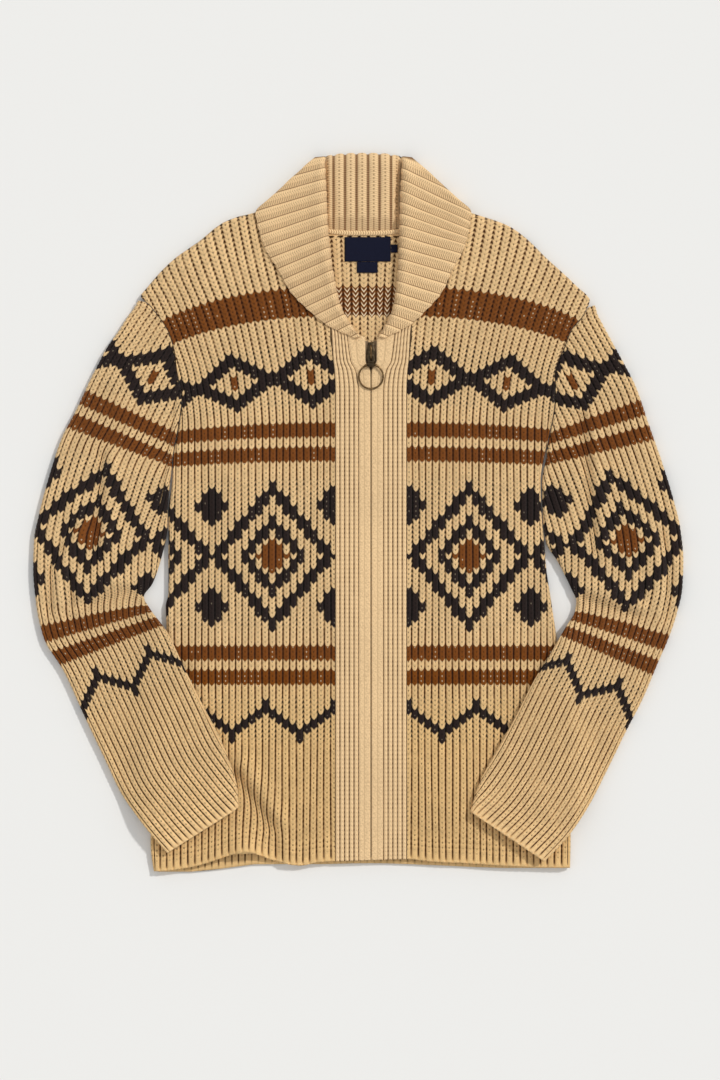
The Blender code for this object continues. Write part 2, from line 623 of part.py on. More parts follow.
def rounded(x, y0, y1, r, steps=4, nose=0.0):
    """Outline of a plate 2x wide from y0 to y1 with round corners; nose widens its upper end."""
    pts = []
    for cx, cy, a0 in ((x + nose - r, y1 - r, 0), (-x - nose + r, y1 - r, 90), (-x + r, y0 + r, 180), (x - r, y0 + r, 270)):
        for k in range(steps + 1):
            a = math.radians(a0 + 90 * k / steps)
            pts.append((cx + r * math.cos(a), cy + r * math.sin(a)))
    return pts


def make_zip(parts, cutters):
    for name, side in (("zip_tape_right", -1), ("zip_tape_left", 1)):
        x0, x1 = sorted((side * TAPE_IN, side * TAPE_OUT))
        slab(name, x0, x1, ZIP_FOOT - 2, ZIP_TOP + 1.5, TAPE_Z, TAPE_Z + TAPE_T, "tape", parts)
    slab("zip_chain", -CHAIN_W / 2, CHAIN_W / 2, ZIP_FOOT + 9, ZIP_TOP - 10, CHAIN_Z0, CHAIN_Z1, "brass", parts, 0.4)
    slab("zip_box", -3.1, 3.1, ZIP_FOOT, ZIP_FOOT + 8.5, CHAIN_Z0 - 0.5, CHAIN_Z1, "brass", parts, 0.6, 2)

    # Slider: two plates joined by a post above the teeth, with a bridge for the pull
    half = SLIDER_W / 2
    top = outline("slider_top", [rounded(half - 0.5, ZIP_TOP - SLIDER_L, ZIP_TOP, 2.0, nose=0.5)], 0.5, 0.2)
    slider = finish("zip_slider", raised(top, 8.1), (0, 0, 0), "brass", parts)
    low = outline("slider_low", [rounded(half - 0.6, ZIP_TOP - SLIDER_L + 0.5, ZIP_TOP - 0.5, 2.0, nose=0.4)], 0.3, 0.15)
    obj = helper("slider_low", raised(low, 4.2), cutters)
    boolean(slider, obj, "UNION")
    bake(slider)
    post = outline("slider_post", [rounded(2.2, ZIP_TOP - 8.0, ZIP_TOP - 3.0, 1.4)], 1.95)
    obj = helper("slider_post", raised(post, 6.1), cutters)
    boolean(slider, obj, "UNION")
    bake(slider)
    arch = [(0, 176.6, 8.3), (0, 176.5, 9.8), (0, 175.7, 11.3), (0, 174.0, 12.2), (0, 171.5, 12.5), (0, 168.0, 12.5),
            (0, 165.0, 12.3), (0, 162.8, 11.5), (0, 161.6, 10.2), (0, 161.4, 8.3)]
    obj = helper("slider_bridge", to_mesh("slider_bridge", wire("slider_bridge", arch, 0.9)), cutters)
    boolean(slider, obj, "UNION")
    bake(slider)

    # Pull tab: a slotted plate whose crossbar sits under the bridge, and a tube for the ring
    hinge = Vector((0, 166.0, 10.2))
    eye = Vector((0, 156.0, 13.2))
    lean = math.atan2(eye.z - hinge.z, hinge.y - eye.y)
    reach = (eye - hinge).length
    plate = outline("tab_plate", [rounded(3.1, -reach + 0.6, 0.75, 0.7, 3), rounded(1.65, -6.9, -0.75, 0.5, 3)[::-1]], 0.6, 0.12)
    tab_mesh = to_mesh("tab_plate", plate)
    tab = finish("zip_pull_tab", tab_mesh, hinge * MM, "brass", parts)
    bm = bmesh.new()
    bmesh.ops.create_cone(bm, cap_ends=True, segments=16, radius1=2.55 * MM, radius2=2.55 * MM, depth=7.0 * MM)
    for v in bm.verts:
        v.co = Vector((v.co.z, v.co.x - reach * MM, v.co.y))
    tube = bpy.data.meshes.new("tab_tube")
    bm.to_mesh(tube)
    bm.free()
    obj = helper("tab_tube", tube, cutters)
    obj.location = tab.location
    boolean(tab, obj, "UNION")
    bake(tab)
    bm = bmesh.new()
    bmesh.ops.create_cone(bm, cap_ends=True, segments=16, radius1=1.62 * MM, radius2=1.62 * MM, depth=12.0 * MM)
    for v in bm.verts:
        v.co = Vector((v.co.z, v.co.x - reach * MM, v.co.y))
    bore = bpy.data.meshes.new("tab_bore")
    bm.to_mesh(bore)
    bm.free()
    obj = helper("tab_bore", bore, cutters)
    obj.location = tab.location
    boolean(tab, obj, "DIFFERENCE")
    bake(tab)
    tab.rotation_euler = (-lean, 0, 0)

    # Ring through the tube, lying with its far side on the bands
    tilt = math.radians(3.6)
    points = []
    for k in range(28):
        a = 2 * math.pi * k / 28
        points.append((RING_R * math.sin(a), -RING_R + 0.25 + RING_R * math.cos(a), 0))
    ring = finish("zip_ring", to_mesh("zip_ring", wire("zip_ring", points, RING_WIRE / 2, True, 2)), eye * MM, "brass", parts)
    ring.rotation_euler = (tilt, 0, 0)
    for obj in (slider, tab, ring):
        obj.data.shade_smooth()


def make_labels(parts):
    z = WALL + SEAM
    for name, x0, x1, y0, y1 in (("label_main", -28, 21, 266, 292), ("label_size", 21.3, 28.4, 275.5, 284),
                                 ("label_care", -15, 7, 254, 265.7)):
        slab(name, x0, x1, y0, y1, z, z + 0.8, "label", parts, 0.2)


def centre(objects):
    """Move everything so that the origin is under the middle of the laid garment."""
    graph = bpy.context.evaluated_depsgraph_get()
    low, high = Vector((9, 9, 9)), Vector((-9, -9, -9))
    for obj in objects:
        done = obj.evaluated_get(graph)
        for v in done.data.vertices:
            co = obj.matrix_world @ v.co
            low = Vector(map(min, low, co))
            high = Vector(map(max, high, co))
    shift = Vector((-(low.x + high.x) / 2, -(low.y + high.y) / 2, -low.z))
    for obj in objects:
        obj.location += shift
    return shift


def main():
    for obj in list(bpy.data.objects):
        bpy.data.objects.remove(obj)
    parts = bpy.data.collections.new("zip_cardigan")
    cutters = bpy.data.collections.new("cutters")
    bpy.context.scene.collection.children.link(parts)
    bpy.context.scene.collection.children.link(cutters)
    make_body(parts)
    make_sleeves(parts)
    make_bands(parts)
    make_collar(parts, cutters)
    make_zip(parts, cutters)
    make_labels(parts)
    bpy.context.view_layer.update()
    centre(list(parts.objects))


main()
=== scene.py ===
"""Looks of the zip cardigan: knit shells with their stitches, ribbed bands and collar, zip teeth, labels.

Tables are in millimetres, in the garment's own frame: x runs across from the zip line, +x to the
wearer's left, y runs from hem to collar, z is up from the surface it lies on. The knit is laid out
in wales (columns of stitches, u) and courses (rows of stitches, v).
"""
import json
import math

import bmesh
import bpy
import numpy as np
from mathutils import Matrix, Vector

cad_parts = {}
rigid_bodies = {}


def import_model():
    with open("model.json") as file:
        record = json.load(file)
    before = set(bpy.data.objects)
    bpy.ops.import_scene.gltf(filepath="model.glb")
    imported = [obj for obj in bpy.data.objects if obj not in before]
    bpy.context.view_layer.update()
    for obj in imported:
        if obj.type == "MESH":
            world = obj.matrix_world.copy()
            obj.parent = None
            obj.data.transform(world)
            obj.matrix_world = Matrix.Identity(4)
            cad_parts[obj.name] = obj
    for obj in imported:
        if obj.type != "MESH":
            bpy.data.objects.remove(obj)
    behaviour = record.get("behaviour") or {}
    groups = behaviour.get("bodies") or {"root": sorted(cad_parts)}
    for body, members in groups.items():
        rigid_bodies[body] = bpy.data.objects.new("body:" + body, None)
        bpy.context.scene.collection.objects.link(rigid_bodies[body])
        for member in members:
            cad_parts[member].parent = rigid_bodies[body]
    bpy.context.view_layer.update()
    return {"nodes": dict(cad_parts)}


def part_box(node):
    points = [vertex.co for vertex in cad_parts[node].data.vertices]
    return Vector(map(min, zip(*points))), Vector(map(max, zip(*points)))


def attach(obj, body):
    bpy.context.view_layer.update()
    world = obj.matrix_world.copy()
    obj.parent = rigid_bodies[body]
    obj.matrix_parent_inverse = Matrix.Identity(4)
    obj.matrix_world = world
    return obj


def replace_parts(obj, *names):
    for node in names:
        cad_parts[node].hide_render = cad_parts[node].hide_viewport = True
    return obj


for thing in list(bpy.data.objects):
    bpy.data.objects.remove(thing)
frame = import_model()

MM = 0.001
WALL, SEAM, LIE_GAP = 3.4, 0.3, 2.6
BODY_H = 2 * WALL + LIE_GAP
ROLL = (BODY_H - SEAM) / 2
BAND_T, BAND_TOP = 3.0, 10.3
ZIP_TOP, ZIP_FOOT = 180.0, -366.0
CLIMB_FOOT, CLIMB_TOP = 38.0, 3.0
HEM_Y, HEM_BLEND = -370.0, -270.0
WALE, COURSE = 7.2, 5.15          # one stitch of the chunky rib knit
COLLAR_RIB = 12.0                 # one rib of the collar

# The garment's own origin in the frame, from where the zip chain lies
low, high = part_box("zip_chain")
ORIGIN = np.array([(low[0] + high[0]) / 2, low[1] - (ZIP_FOOT + 9) * MM, 0.0])

COLLAR_AXIS = [(150, -1.0), (184, -1.6), (197, -2.7), (240, -5.3), (293, -7.4), (318, -8.0), (400, -8.0)]
BODY_EDGE = {
    -1: [(331, 75, 90), (318, 123, 90), (311, 149, 90), (287, 183, 90), (266, 212, 90), (240, 236, 90),
         (229, 244, 60), (219, 234, 25), (190, 214, 25), (174, 209, 32), (145, 205, 42), (123, 200, 55),
         (90, 204, 76), (56, 210, 87), (32, 211, 90), (1, 215, 90), (-46, 215, 90), (-86, 215, 90),
         (-100, 218, 90), (-126, 217, 90), (-199, 223, 90), (-273, 229, 90), (-341, 234, 90), (-384, 228, 90)],
    1: [(331, 60, 90), (318, 105, 90), (303, 147, 90), (267, 189, 90), (240, 218, 90),
        (225, 232, 60), (209, 225, 25), (193, 212, 25), (175, 205, 32), (159, 198, 37), (145, 195, 42),
        (120, 195, 56), (76, 188, 78), (32, 180, 90), (1, 181, 90), (-32, 184, 90), (-59, 186, 90),
        (-86, 190, 90), (-113, 194, 90), (-126, 196, 90), (-199, 202, 90), (-284, 209, 90), (-339, 212, 90),
        (-380, 211, 90)],
}
HEM_FRONT = [(-240, -381), (-228, -381), (-193, -377), (-165, -369), (-145, -362), (-133, -359), (-125, -361),
             (-105, -369), (-75, -375), (-54, -371), (-32, -370), (0, -369), (41, -368), (66, -371), (94, -372),
             (141, -375), (195, -377), (211, -377), (220, -377)]
HEM_BACK = [(-240, -382), (-190, -382), (-152, -378), (-119, -374), (-60, -374), (0, -373), (66, -375),
            (141, -378), (220, -378)]
NECK_FRONT = [(184, 6.0), (198, 42.0), (213, 52.0), (236, 64.5), (270, 73.0), (300, 76.5), (330, 77.5)]
NECK_BACK = [(296.5, 0.0), (299, 38.0), (306, 62.0), (315, 72.0), (330, 77.5)]
BAND = [(183, 6.5, 43.0), (178, 6.0, 42.0), (160, 5.8, 40.2), (157.6, 5.0, 39.9), (154, 2.3, 39.4), (150.5, 0.9, 39.0),
        (147, 0.6, 38.8),
        (138, 0.5, 38.3), (120, 0.5, 38.0), (-300, 0.5, 38.0), (HEM_Y, 0.5, 38.0)]
# Creases of the fronts: from (x0, y0) to (x1, y1), width either side, height (minus is a trough)
BODY_FOLDS = [(-133, -372, -134, -358, 15, 10.0), (-134, -376, -134, -370, 12, 3.0), (-165, -374, -162, -362, 24, 2.6),
              (-144, -280, -108, -333, 6.5, -3.8), (-102.5, -350, -100, -368, 5.5, -2.2), (-132, -271, -96, -324, 8.5, 5.8),
              (-92, -345, -90, -366, 7.5, 2.4),
              (186, 76, 176, -10, 11, -2.8), (170, 90, 160, 10, 14, 1.2), (-150, 110, -138, 190, 34, 0.9),
              (110, 60, 95, -60, 45, 0.9), (-120, 40, -135, -120, 45, 0.9), (120, -200, 130, -330, 40, 0.9),
              (-188, 70, -172, -40, 11, -2.6), (-205, -60, -196, -200, 16, -1.2), (-60, -130, -66, -300, 20, -0.7),
              (60, 20, 64, -180, 18, -0.7), (-190, 180, -160, 120, 14, -1.0), (172, 170, 150, 110, 14, -1.0),
              (165, -250, 175, -360, 16, -1.0), (85, -300, 80, -366, 12, 0.8), (-56, -330, -54, -368, 10, 0.9)]
SLEEVE = {
    -1: [(-248, 224.6, -238.3, 222.6, 28, 8.2, 0), (-250, 219, -230.4, 212.5, 28, 9.4, 0),
         (-258, 208, -218.5, 194.0, 26, 9.6, 0), (-268, 192, -210.8, 172, 34, 10, 0),
         (-279, 177, -204.2, 140, 46, 10.2, 0), (-296, 145, -202.6, 100, 58, 10.2, 0),
         (-313, 109, -209.3, 64, 90, 10.2, 0), (-328, 80, -212.2, 40, 90, 10.2, 0),
         (-340, 45, -215.2, 12, 90, 10.2, 0), (-352, 1, -216.2, -19, 90, 10.2, 0),
         (-358, -30, -222, -47, 90, 10.2, 0), (-359, -61, -232, -76, 90, 10.2, 0),
         (-356, -96, -241, -90, 90, 10.2, 0.1), (-348, -133, -234, -103, 90, 10.2, 0.6),
         (-326, -170, -217, -125, 90, 10.2, 1), (-304, -218, -196, -168, 90, 10.2, 1),
         (-285, -258, -179, -202, 90, 10.2, 1), (-264, -301, -158, -243, 90, 10.2, 1),
         (-247, -324, -147, -272, 90, 10.2, 1), (-231, -344, -141, -294, 90, 10.2, 1),
         (-216, -361, -140, -313, 90, 10.2, 1)],
    1: [(238.5, 219.5, 229.4, 217.2, 28, 8.2, 0), (240, 212, 221.5, 203.5, 28, 9.4, 0),
        (248, 196, 209.5, 184, 28, 9.6, 0), (256, 181, 203.5, 170, 34, 10, 0),
        (266, 163, 196.2, 135, 47, 10.2, 0), (281, 134, 193.2, 98, 58, 10.2, 0),
        (296, 91, 186.9, 62, 90, 10.2, 0), (309, 54, 181.6, 30, 90, 10.2, 0),
        (321, 15, 182.2, -2, 90, 10.2, 0), (329, -19, 185.6, -31, 90, 10.2, 0),
        (332, -51, 199, -54, 90, 10.2, 0), (331, -80, 212, -80, 90, 10.2, 0),
        (325, -108, 218, -95, 90, 10.2, 0.1), (317, -132, 216, -106, 90, 10.2, 0.6),
        (305, -160, 206, -122, 90, 10.2, 1), (289, -198, 190, -149, 90, 10.2, 1),
        (272, -231, 172, -179, 90, 10.2, 1), (254, -268, 152, -218, 90, 10.2, 1),
        (235, -305, 134, -250, 90, 10.2, 1), (210, -342, 114, -288, 90, 10.2, 1),
        (184, -370, 105, -317, 90, 10.2, 1)],
}
# Creases of the sleeves' upper layer, as in BODY_FOLDS
SLEEVE_FOLDS = {
    -1: [(-286, 58, -292, -44, 5.5, -3.6), (-275, 56, -281, -36, 7.5, 5.4), (-206, 108, -221, 2, 6, -3.2),
         (-318, -18, -335.5, -53, 5.5, -3.6), (-340.5, -64, -342, -104, 5.5, -3.4), (-307, -22, -324, -55, 7.5, 5.0),
         (-330, -71, -331.5, -97, 7.5, 4.6), (-319.5, -72, -318, -96, 4.5, -3.0), (-262, -72, -305, -84, 8, 4.8),
         (-252, -84, -300, -98, 5.5, -3.6), (-326, -106, -308, -126, 4.5, -2.8),
         (-252, -118, -300, -138, 9, 1.3),
         (-236, -34, -286, -30, 9, 1.2), (-268, 120, -258, 20, 18, 1.0), (-232, 90, -226, 0, 14, -1.4),
         (-250, -240, -195, -310, 22, 0.9), (-290, -210, -240, -300, 16, -0.9), (-285, 160, -262, 110, 16, 1.0),
         (-225, -150, -250, -180, 14, 1.0), (-340, 10, -346, -30, 8, -1.2)],
    1: [(224, 100, 237, -38, 5.5, -3.6), (235, 98, 248.5, -34, 8, 5.2), (190, 96, 185, 6, 6, -2.8),
        (310, -26, 315.5, -54, 5.5, -3.2), (317, -68, 315, -110, 5.5, -3.0), (298, -20, 303, -50, 7.5, 4.4),
        (306, -68, 304, -104, 7.5, 4.0), (285, -48, 290, -88, 4.5, -2.8), (278, -66, 266, -88, 5, -2.2),
        (232, -80, 280, -97, 8, 4.6), (224, -92, 280, -111, 5.5, -3.6),
        (236, -130, 288, -150, 9, 1.2),
        (212, -40, 258, -40, 9, 1.2), (285, 80, 290, -30, 16, 1.0), (205, 90, 200, 10, 12, -1.4),
        (225, -240, 165, -300, 22, 0.9), (262, -210, 215, -290, 16, -0.9), (270, 150, 250, 110, 14, 0.9),
        (205, -150, 235, -180, 14, 1.0), (312, 20, 318, -20, 8, -1.2)],
}
COLLAR = [(40, 377, 48, 380, 13, 10), (40, 367, 62, 367.5, 17.5, 13), (39.5, 355, 97, 335, 19, 14),
          (38.5, 339, 115, 317, 19.5, 14), (38, 319, 112.5, 301, 19.5, 13.6), (37, 297, 106, 279, 19, 13.5),
          (35.5, 273, 93, 256.5, 18.5, 13.4), (32.5, 247, 81, 233, 18, 13.4), (28, 222, 63.5, 214, 17, 13.4),
          (20, 203, 43.5, 197, 15.5, 13.4), (8.5, 186, 17.5, 184.3, 14.2, 13.4)]
# How far the collar's ribs drop as they run outward, in degrees: place down the roll line, right, left
RIB_DROP = [(0, 12, 24), (2, 15, 25), (4, 18, 20), (5, 20, 16), (6, 23, 16), (8, 25, 19), (10, 26, 22)]
STAND = [(297.2, 3.6), (312, 8.0), (335, 10.5), (358, 12.0), (373, 12.2), (378.5, 9.8), (381.3, 6.0), (378, 1.6)]
# The upper courses droop towards the armholes, and the wales fan out to the shoulders: y, amount
DROOP = [(-370, 0), (-136, 0), (76, 6.4), (142, 19), (232, 39), (299, 50), (380, 52)]
FAN = [(-370, 1.0), (87, 1.0), (145, 1.04), (172, 1.085), (225, 1.2), (246, 1.26), (278, 1.34), (318, 1.42), (380, 1.5)]


# ---------------------------------------------------------------- interpolation
class Curve:
    """Smooth curve through a table's rows, without overshoot."""

    def __init__(self, xs, ys):
        if xs[0] > xs[-1]:
            xs, ys = xs[::-1], ys[::-1]
        self.x, self.y = np.array(xs, float), np.array(ys, float)
        h = np.diff(self.x)
        d = np.diff(self.y) / h
        m = np.zeros(len(self.x))
        m[0], m[-1] = d[0], d[-1]
        if len(d) > 1:
            w1, w2 = 2 * h[1:] + h[:-1], h[1:] + 2 * h[:-1]
            ok = d[:-1] * d[1:] > 0
            a, b = np.where(ok, d[:-1], 1), np.where(ok, d[1:], 1)
            m[1:-1] = np.where(ok, (w1 + w2) / (w1 / a + w2 / b), 0)
        self.m = m

    def parts(self, x):
        x = np.clip(x, self.x[0], self.x[-1])
        i = np.clip(np.searchsorted(self.x, x, side="right") - 1, 0, len(self.x) - 2)
        h = self.x[i + 1] - self.x[i]
        return (x - self.x[i]) / h, h, self.y[i], self.y[i + 1], self.m[i], self.m[i + 1]

    def __call__(self, x):
        t, h, a, b, p, q = self.parts(x)
        return ((1 + 2 * t) * (1 - t) ** 2 * a + t * (1 - t) ** 2 * h * p
                + t * t * (3 - 2 * t) * b + t * t * (t - 1) * h * q)

    def slope(self, x):
        t, h, a, b, p, q = self.parts(x)
        return ((6 * t * t - 6 * t) * a / h + (3 * t * t - 4 * t + 1) * p
                + (6 * t - 6 * t * t) * b / h + (3 * t * t - 2 * t) * q)


def column(table, i):
    return [row[i] for row in table]


def curve(table, i=1, at=0):
    return Curve(column(table, at), column(table, i))


def smooth(a, b, x):
    t = np.clip((x - a) / (b - a), 0, 1)
    return t * t * (3 - 2 * t)


def chance(a, b=0, seed=0):
    """A repeatable number from 0 to 1 for each pair of whole numbers."""
    n = np.sin(np.asarray(a) * 127.1 + np.asarray(b) * 311.7 + seed * 74.7) * 43758.5453
    return n - np.floor(n)


def folds(table, x, y):
    total = np.zeros(np.broadcast(x, y).shape)
    for x0, y0, x1, y1, width, height in table:
        dx, dy = x1 - x0, y1 - y0
        length = math.hypot(dx, dy)
        along = ((x - x0) * dx + (y - y0) * dy) / length
        across = ((x - x0) * dy - (y - y0) * dx) / length
        past = np.maximum(np.maximum(-along, along - length), 0)
        total = total + height * np.exp(-(across / width) ** 2 - (past / (1.4 * width)) ** 2)
    return np.maximum(total, -4.2)


def gathers(table, x, y):
    """Sideways pull towards the deep creases, where the wales lie closer together."""
    move_x = np.zeros(np.broadcast(x, y).shape)
    move_y = np.zeros(move_x.shape)
    for x0, y0, x1, y1, width, height in table:
        if height > -2.95:
            continue
        dx, dy = x1 - x0, y1 - y0
        length = math.hypot(dx, dy)
        along = ((x - x0) * dx + (y - y0) * dy) / length
        across = ((x - x0) * dy - (y - y0) * dx) / length
        past = np.maximum(np.maximum(-along, along - length), 0)
        pull = -0.36 * across * np.exp(-(across / (2.1 * width)) ** 2 - (past / (1.6 * width)) ** 2)
        move_x, move_y = move_x + pull * dy / length, move_y - pull * dx / length
    return move_x, move_y


def folds_under(table, x, y):
    """The creases for a layer's inner skin, which has fewer points: wide ridges, and wider troughs, not too deep."""
    wide = [(x0, y0, x1, y1, width, height * (1.0 if width >= 12 else 0.15)) if height > 0
            else (x0, y0, x1, y1, 1.5 * width + 9, height) for x0, y0, x1, y1, width, height in table]
    return np.maximum(folds(wide, x, y), -2.25)


AXIS = curve(COLLAR_AXIS)
EDGE = {s: (curve(t, 1), curve(t, 2)) for s, t in BODY_EDGE.items()}
DROOP_AT, FAN_AT = curve(DROOP), curve(FAN)
BAND_IN, BAND_OUT = curve(BAND, 1), curve(BAND, 2)
NECK_F, NECK_B = curve(NECK_FRONT), curve(NECK_BACK)
HEM_F, HEM_B = curve(HEM_FRONT), curve(HEM_BACK)


# ---------------------------------------------------------------- stitches
def across_wale(u):
    """0 on the middle of a wale to 1 in the groove beside it."""
    return np.abs(2 * (u - np.floor(u)) - 1)


def stitch_relief(u, v, deep=1.0, foot=2.2):
    """Height of the knit's face on the panel: round wales of swelling loops, and between them grooves
    crossed by a strand at each course. Below foot, in courses, the ribs are plain, and towards the
    shoulders the knit is stretched open."""
    d = across_wale(u)
    wale, course = np.floor(u), np.floor(v + 0.001)
    fv = v - course
    turn = np.minimum(fv, 1 - fv)
    worked = smooth(foot - 0.8, foot + 0.6, v)
    open_knit = smooth(88, 110, v)
    loop = np.sin(np.pi * fv) * (0.40 + 0.25 * chance(wale, course, 1)) * worked * (0.5 + 0.5 * open_knit)
    groove = 2.05 + 0.35 * chance(np.floor(u + 0.5), 0, 2)
    bulge = np.sin(np.pi * fv) * worked
    strand = (0.2 + 0.45 * open_knit) * bulge * smooth(0.6, 1.0, d)
    eye = np.exp(-(d / 0.26) ** 2) * (0.22 + 0.55 * np.exp(-(turn / 0.22) ** 2)) * worked
    groove = groove * (0.22 + 0.78 * smooth(0.1, 1.1, v + 0.25 * d))
    body = -0.34 * d ** 2 - groove * smooth(0.50 - 0.10 * open_knit, 0.98, d - (0.05 + 0.08 * open_knit) * bulge + 0.05 * worked)
    return deep * np.maximum(body + loop * (1 - d ** 4) + strand - eye - 0.15, -2.6)


FINE, COARSE = (0, 0.11, 0.22, 0.36, 0.5, 0.64, 0.78, 0.89), (0, 0.26, 0.74)


def wale_columns(first, last, places):
    return np.array([wale + place for wale in range(first, last) for place in places])


def chevron(u, amount=0.85):
    """How far up the course line lies at u, in courses: each stitch is a V."""
    return amount * across_wale(u) ** 1.2


# ---------------------------------------------------------------- colour chart
# Tones: 0 natural, 0.4 natural with black floats behind, 1 brown, 2 black, 3 the inside of the black
# bands, 4 the inside of the brown ones
def wave(n, period):
    m = np.mod(n, period)
    return np.minimum(m, period - m)


def stripes(tone, c, table):
    for first, last, value in table:
        tone = np.where((c >= first) & (c <= last), value, tone)
    return tone


def diamond(w, c, w0, c0, period, width, height):
    """Distance from the middle of the nearest diamond in a row of them: 1 on its outline."""
    dw = wave(w - w0, period)
    return dw / width + np.abs(c - c0) / height


def zigzag(tone, w, c, foot, period, rise, thick):
    line = foot + rise * wave(w, period) / (period / 2)
    return np.where((c >= line - 0.01) & (c <= line + thick - 1), 2, tone)


def ring(tone, distance, inner, outer, value):
    return np.where((distance > inner) & (distance <= outer) & (tone == 0), value, tone)


def chart_field(tone, w, c, w0, c0):
    """Nested diamonds, touching at their corners, with a small diamond in the hollow above and below."""
    near = np.abs(c - c0) <= 15
    big = np.where(near, diamond(w, c, w0, c0, 18, 9.2, 15.6), 9)
    tone = ring(tone, big, 0.79, 1.0, 2)
    tone = ring(tone, big, 0.36, 0.54, 2)
    tone = ring(tone, big, -1, 0.24, 1)
    for c1 in (c0 - 10.5, c0 + 10.5):
        tone = ring(tone, diamond(w, c, w0 + 9, c1, 18, 2.6, 4.2), -1, 1.0, 2)
    return tone


def chart_chain(tone, w, c, w0, c0):
    chain = np.where(np.abs(c - c0) <= 6, diamond(w, c, w0, c0, 11, 5.4, 6.4), 9)
    tone = ring(tone, chain, 0.56, 1.1, 2)
    return ring(tone, chain, -1, 0.18, 1)


def floats(tone, c, *rows):
    for first, last in rows:
        tone = np.where((c >= first) & (c <= last) & (tone == 0), 0.4, tone)
    return tone


def chart_body(w, c):
    tone = stripes(np.zeros(np.broadcast(w, c).shape), c, [(36, 38, 1), (41, 43, 1), (82, 84, 1), (87, 89, 1), (112, 117, 1)])
    tone = zigzag(tone, w, c, 24, 10, 6, 3)
    tone = chart_field(tone, w, c, 14, 62)
    return floats(chart_chain(tone, w, c, 8, 99), c, (24, 32), (47, 77), (93, 105))


def chart_sleeve(w, c):
    tone = stripes(np.zeros(np.broadcast(w, c).shape), c, [(43, 45, 1), (48, 50, 1), (89, 91, 1), (94, 96, 1)])
    tone = zigzag(tone, w, c, 31, 10, 6, 3)
    tone = chart_field(tone, w, c, 8, 69)
    return floats(chart_chain(tone, w, c, 8, 105), c, (31, 39), (54, 84), (99, 111))


def chart_inside(w, c):
    """The back seen from inside, where the floats cross behind each coloured band."""
    tone = np.zeros(np.broadcast(w, c).shape)
    return stripes(tone, c, [(24, 32, 3), (36, 38, 4), (41, 43, 4), (47, 77, 3), (82, 84, 4), (87, 89, 4), (93, 105, 3), (112, 117, 4)])


def chart_plain(w, c):
    return np.zeros(np.broadcast(w, c).shape)


# ---------------------------------------------------------------- meshes
class Cloth:
    """Vertices and triangles of one piece, with each corner's place in the knit and its tone."""

    def __init__(self):
        self.co, self.tri, self.uv, self.tone = [], [], [], []
        self.count = 0

    def points(self, co):
        co = np.asarray(co, float)
        ids = np.arange(self.count, self.count + co[..., 0].size).reshape(co.shape[:-1])
        self.co.append(co.reshape(-1, 3))
        self.count += ids.size
        return ids

    def add(self, tri, uv, tone):
        keep = (tri[:, 0] != tri[:, 1]) & (tri[:, 1] != tri[:, 2]) & (tri[:, 0] != tri[:, 2])
        self.tri.append(tri[keep])
        self.uv.append(uv[keep])
        self.tone.append(np.broadcast_to(tone, (len(tri),))[keep])

    def grid(self, ids, u, v, tone):
        """Two triangles to each cell. tone has a value for each cell, or one for all."""
        uv = np.stack([np.broadcast_to(u, ids.shape), np.broadcast_to(v, ids.shape)], -1)

        def corners(a):
            return a[:-1, :-1], a[:-1, 1:], a[1:, 1:], a[1:, :-1]

        tone = np.broadcast_to(tone, (ids.shape[0] - 1, ids.shape[1] - 1)).reshape(-1)
        (a, b, c, d), (p, q, r, s) = corners(ids), corners(uv)
        for one, place in (((a, b, c), (p, q, r)), ((a, c, d), (p, r, s))):
            self.add(np.stack(one, -1).reshape(-1, 3), np.stack(place, -2).reshape(-1, 3, 2), tone)

    def zipper(self, a, ta, b, tb, uv_a, uv_b, tone=0):
        """A strip of triangles between two rows of points with different counts."""
        i, j, tri, uv = 0, 0, [], []
        while i < len(a) - 1 or j < len(b) - 1:
            if j == len(b) - 1 or (i < len(a) - 1 and ta[i + 1] <= tb[j + 1]):
                tri.append((a[i], a[i + 1], b[j]))
                uv.append((uv_a[i], uv_a[i + 1], uv_b[j]))
                i += 1
            else:
                tri.append((a[i], b[j + 1], b[j]))
                uv.append((uv_a[i], uv_b[j + 1], uv_b[j]))
                j += 1
        self.add(np.array(tri), np.array(uv, float), tone)

    def build(self, name, weld=0.0):
        co, tri = np.concatenate(self.co), np.concatenate(self.tri)
        uv, tone = np.concatenate(self.uv), np.concatenate(self.tone)
        used, tri = np.unique(tri, return_inverse=True)
        tri = tri.reshape(-1, 3)
        co = co[used] * MM + ORIGIN
        mesh = bpy.data.meshes.new(name)
        mesh.vertices.add(len(co))
        mesh.vertices.foreach_set("co", co.ravel())
        mesh.loops.add(3 * len(tri))
        mesh.loops.foreach_set("vertex_index", tri.ravel().astype(np.int32))
        mesh.polygons.add(len(tri))
        mesh.polygons.foreach_set("loop_start", np.arange(0, 3 * len(tri), 3, dtype=np.int32))
        mesh.update(calc_edges=True)
        layer = mesh.uv_layers.new(name="knit")
        layer.data.foreach_set("uv", uv.reshape(-1).astype(np.float32))
        attribute = mesh.attributes.new("tone", "FLOAT", "CORNER")
        attribute.data.foreach_set("value", np.repeat(tone, 3).astype(np.float32))
        bm = bmesh.new()
        bm.from_mesh(mesh)
        if weld:
            bmesh.ops.remove_doubles(bm, verts=bm.verts[:], dist=weld * MM)
        bmesh.ops.recalc_face_normals(bm, faces=bm.faces[:])
        bm.to_mesh(mesh)
        bm.free()
        mesh.shade_smooth()
        obj = bpy.data.objects.new(name, mesh)
        bpy.context.scene.collection.objects.link(obj)
        return obj


def first_crossing(test, inside, outside, steps=16):
    """Where test falls to 0 between a place inside and one outside, for each row."""
    for _ in range(steps):
        middle = (inside + outside) / 2
        good = test(middle) > 0
        inside, outside = np.where(good, middle, inside), np.where(good, outside, middle)
    return (inside + outside) / 2


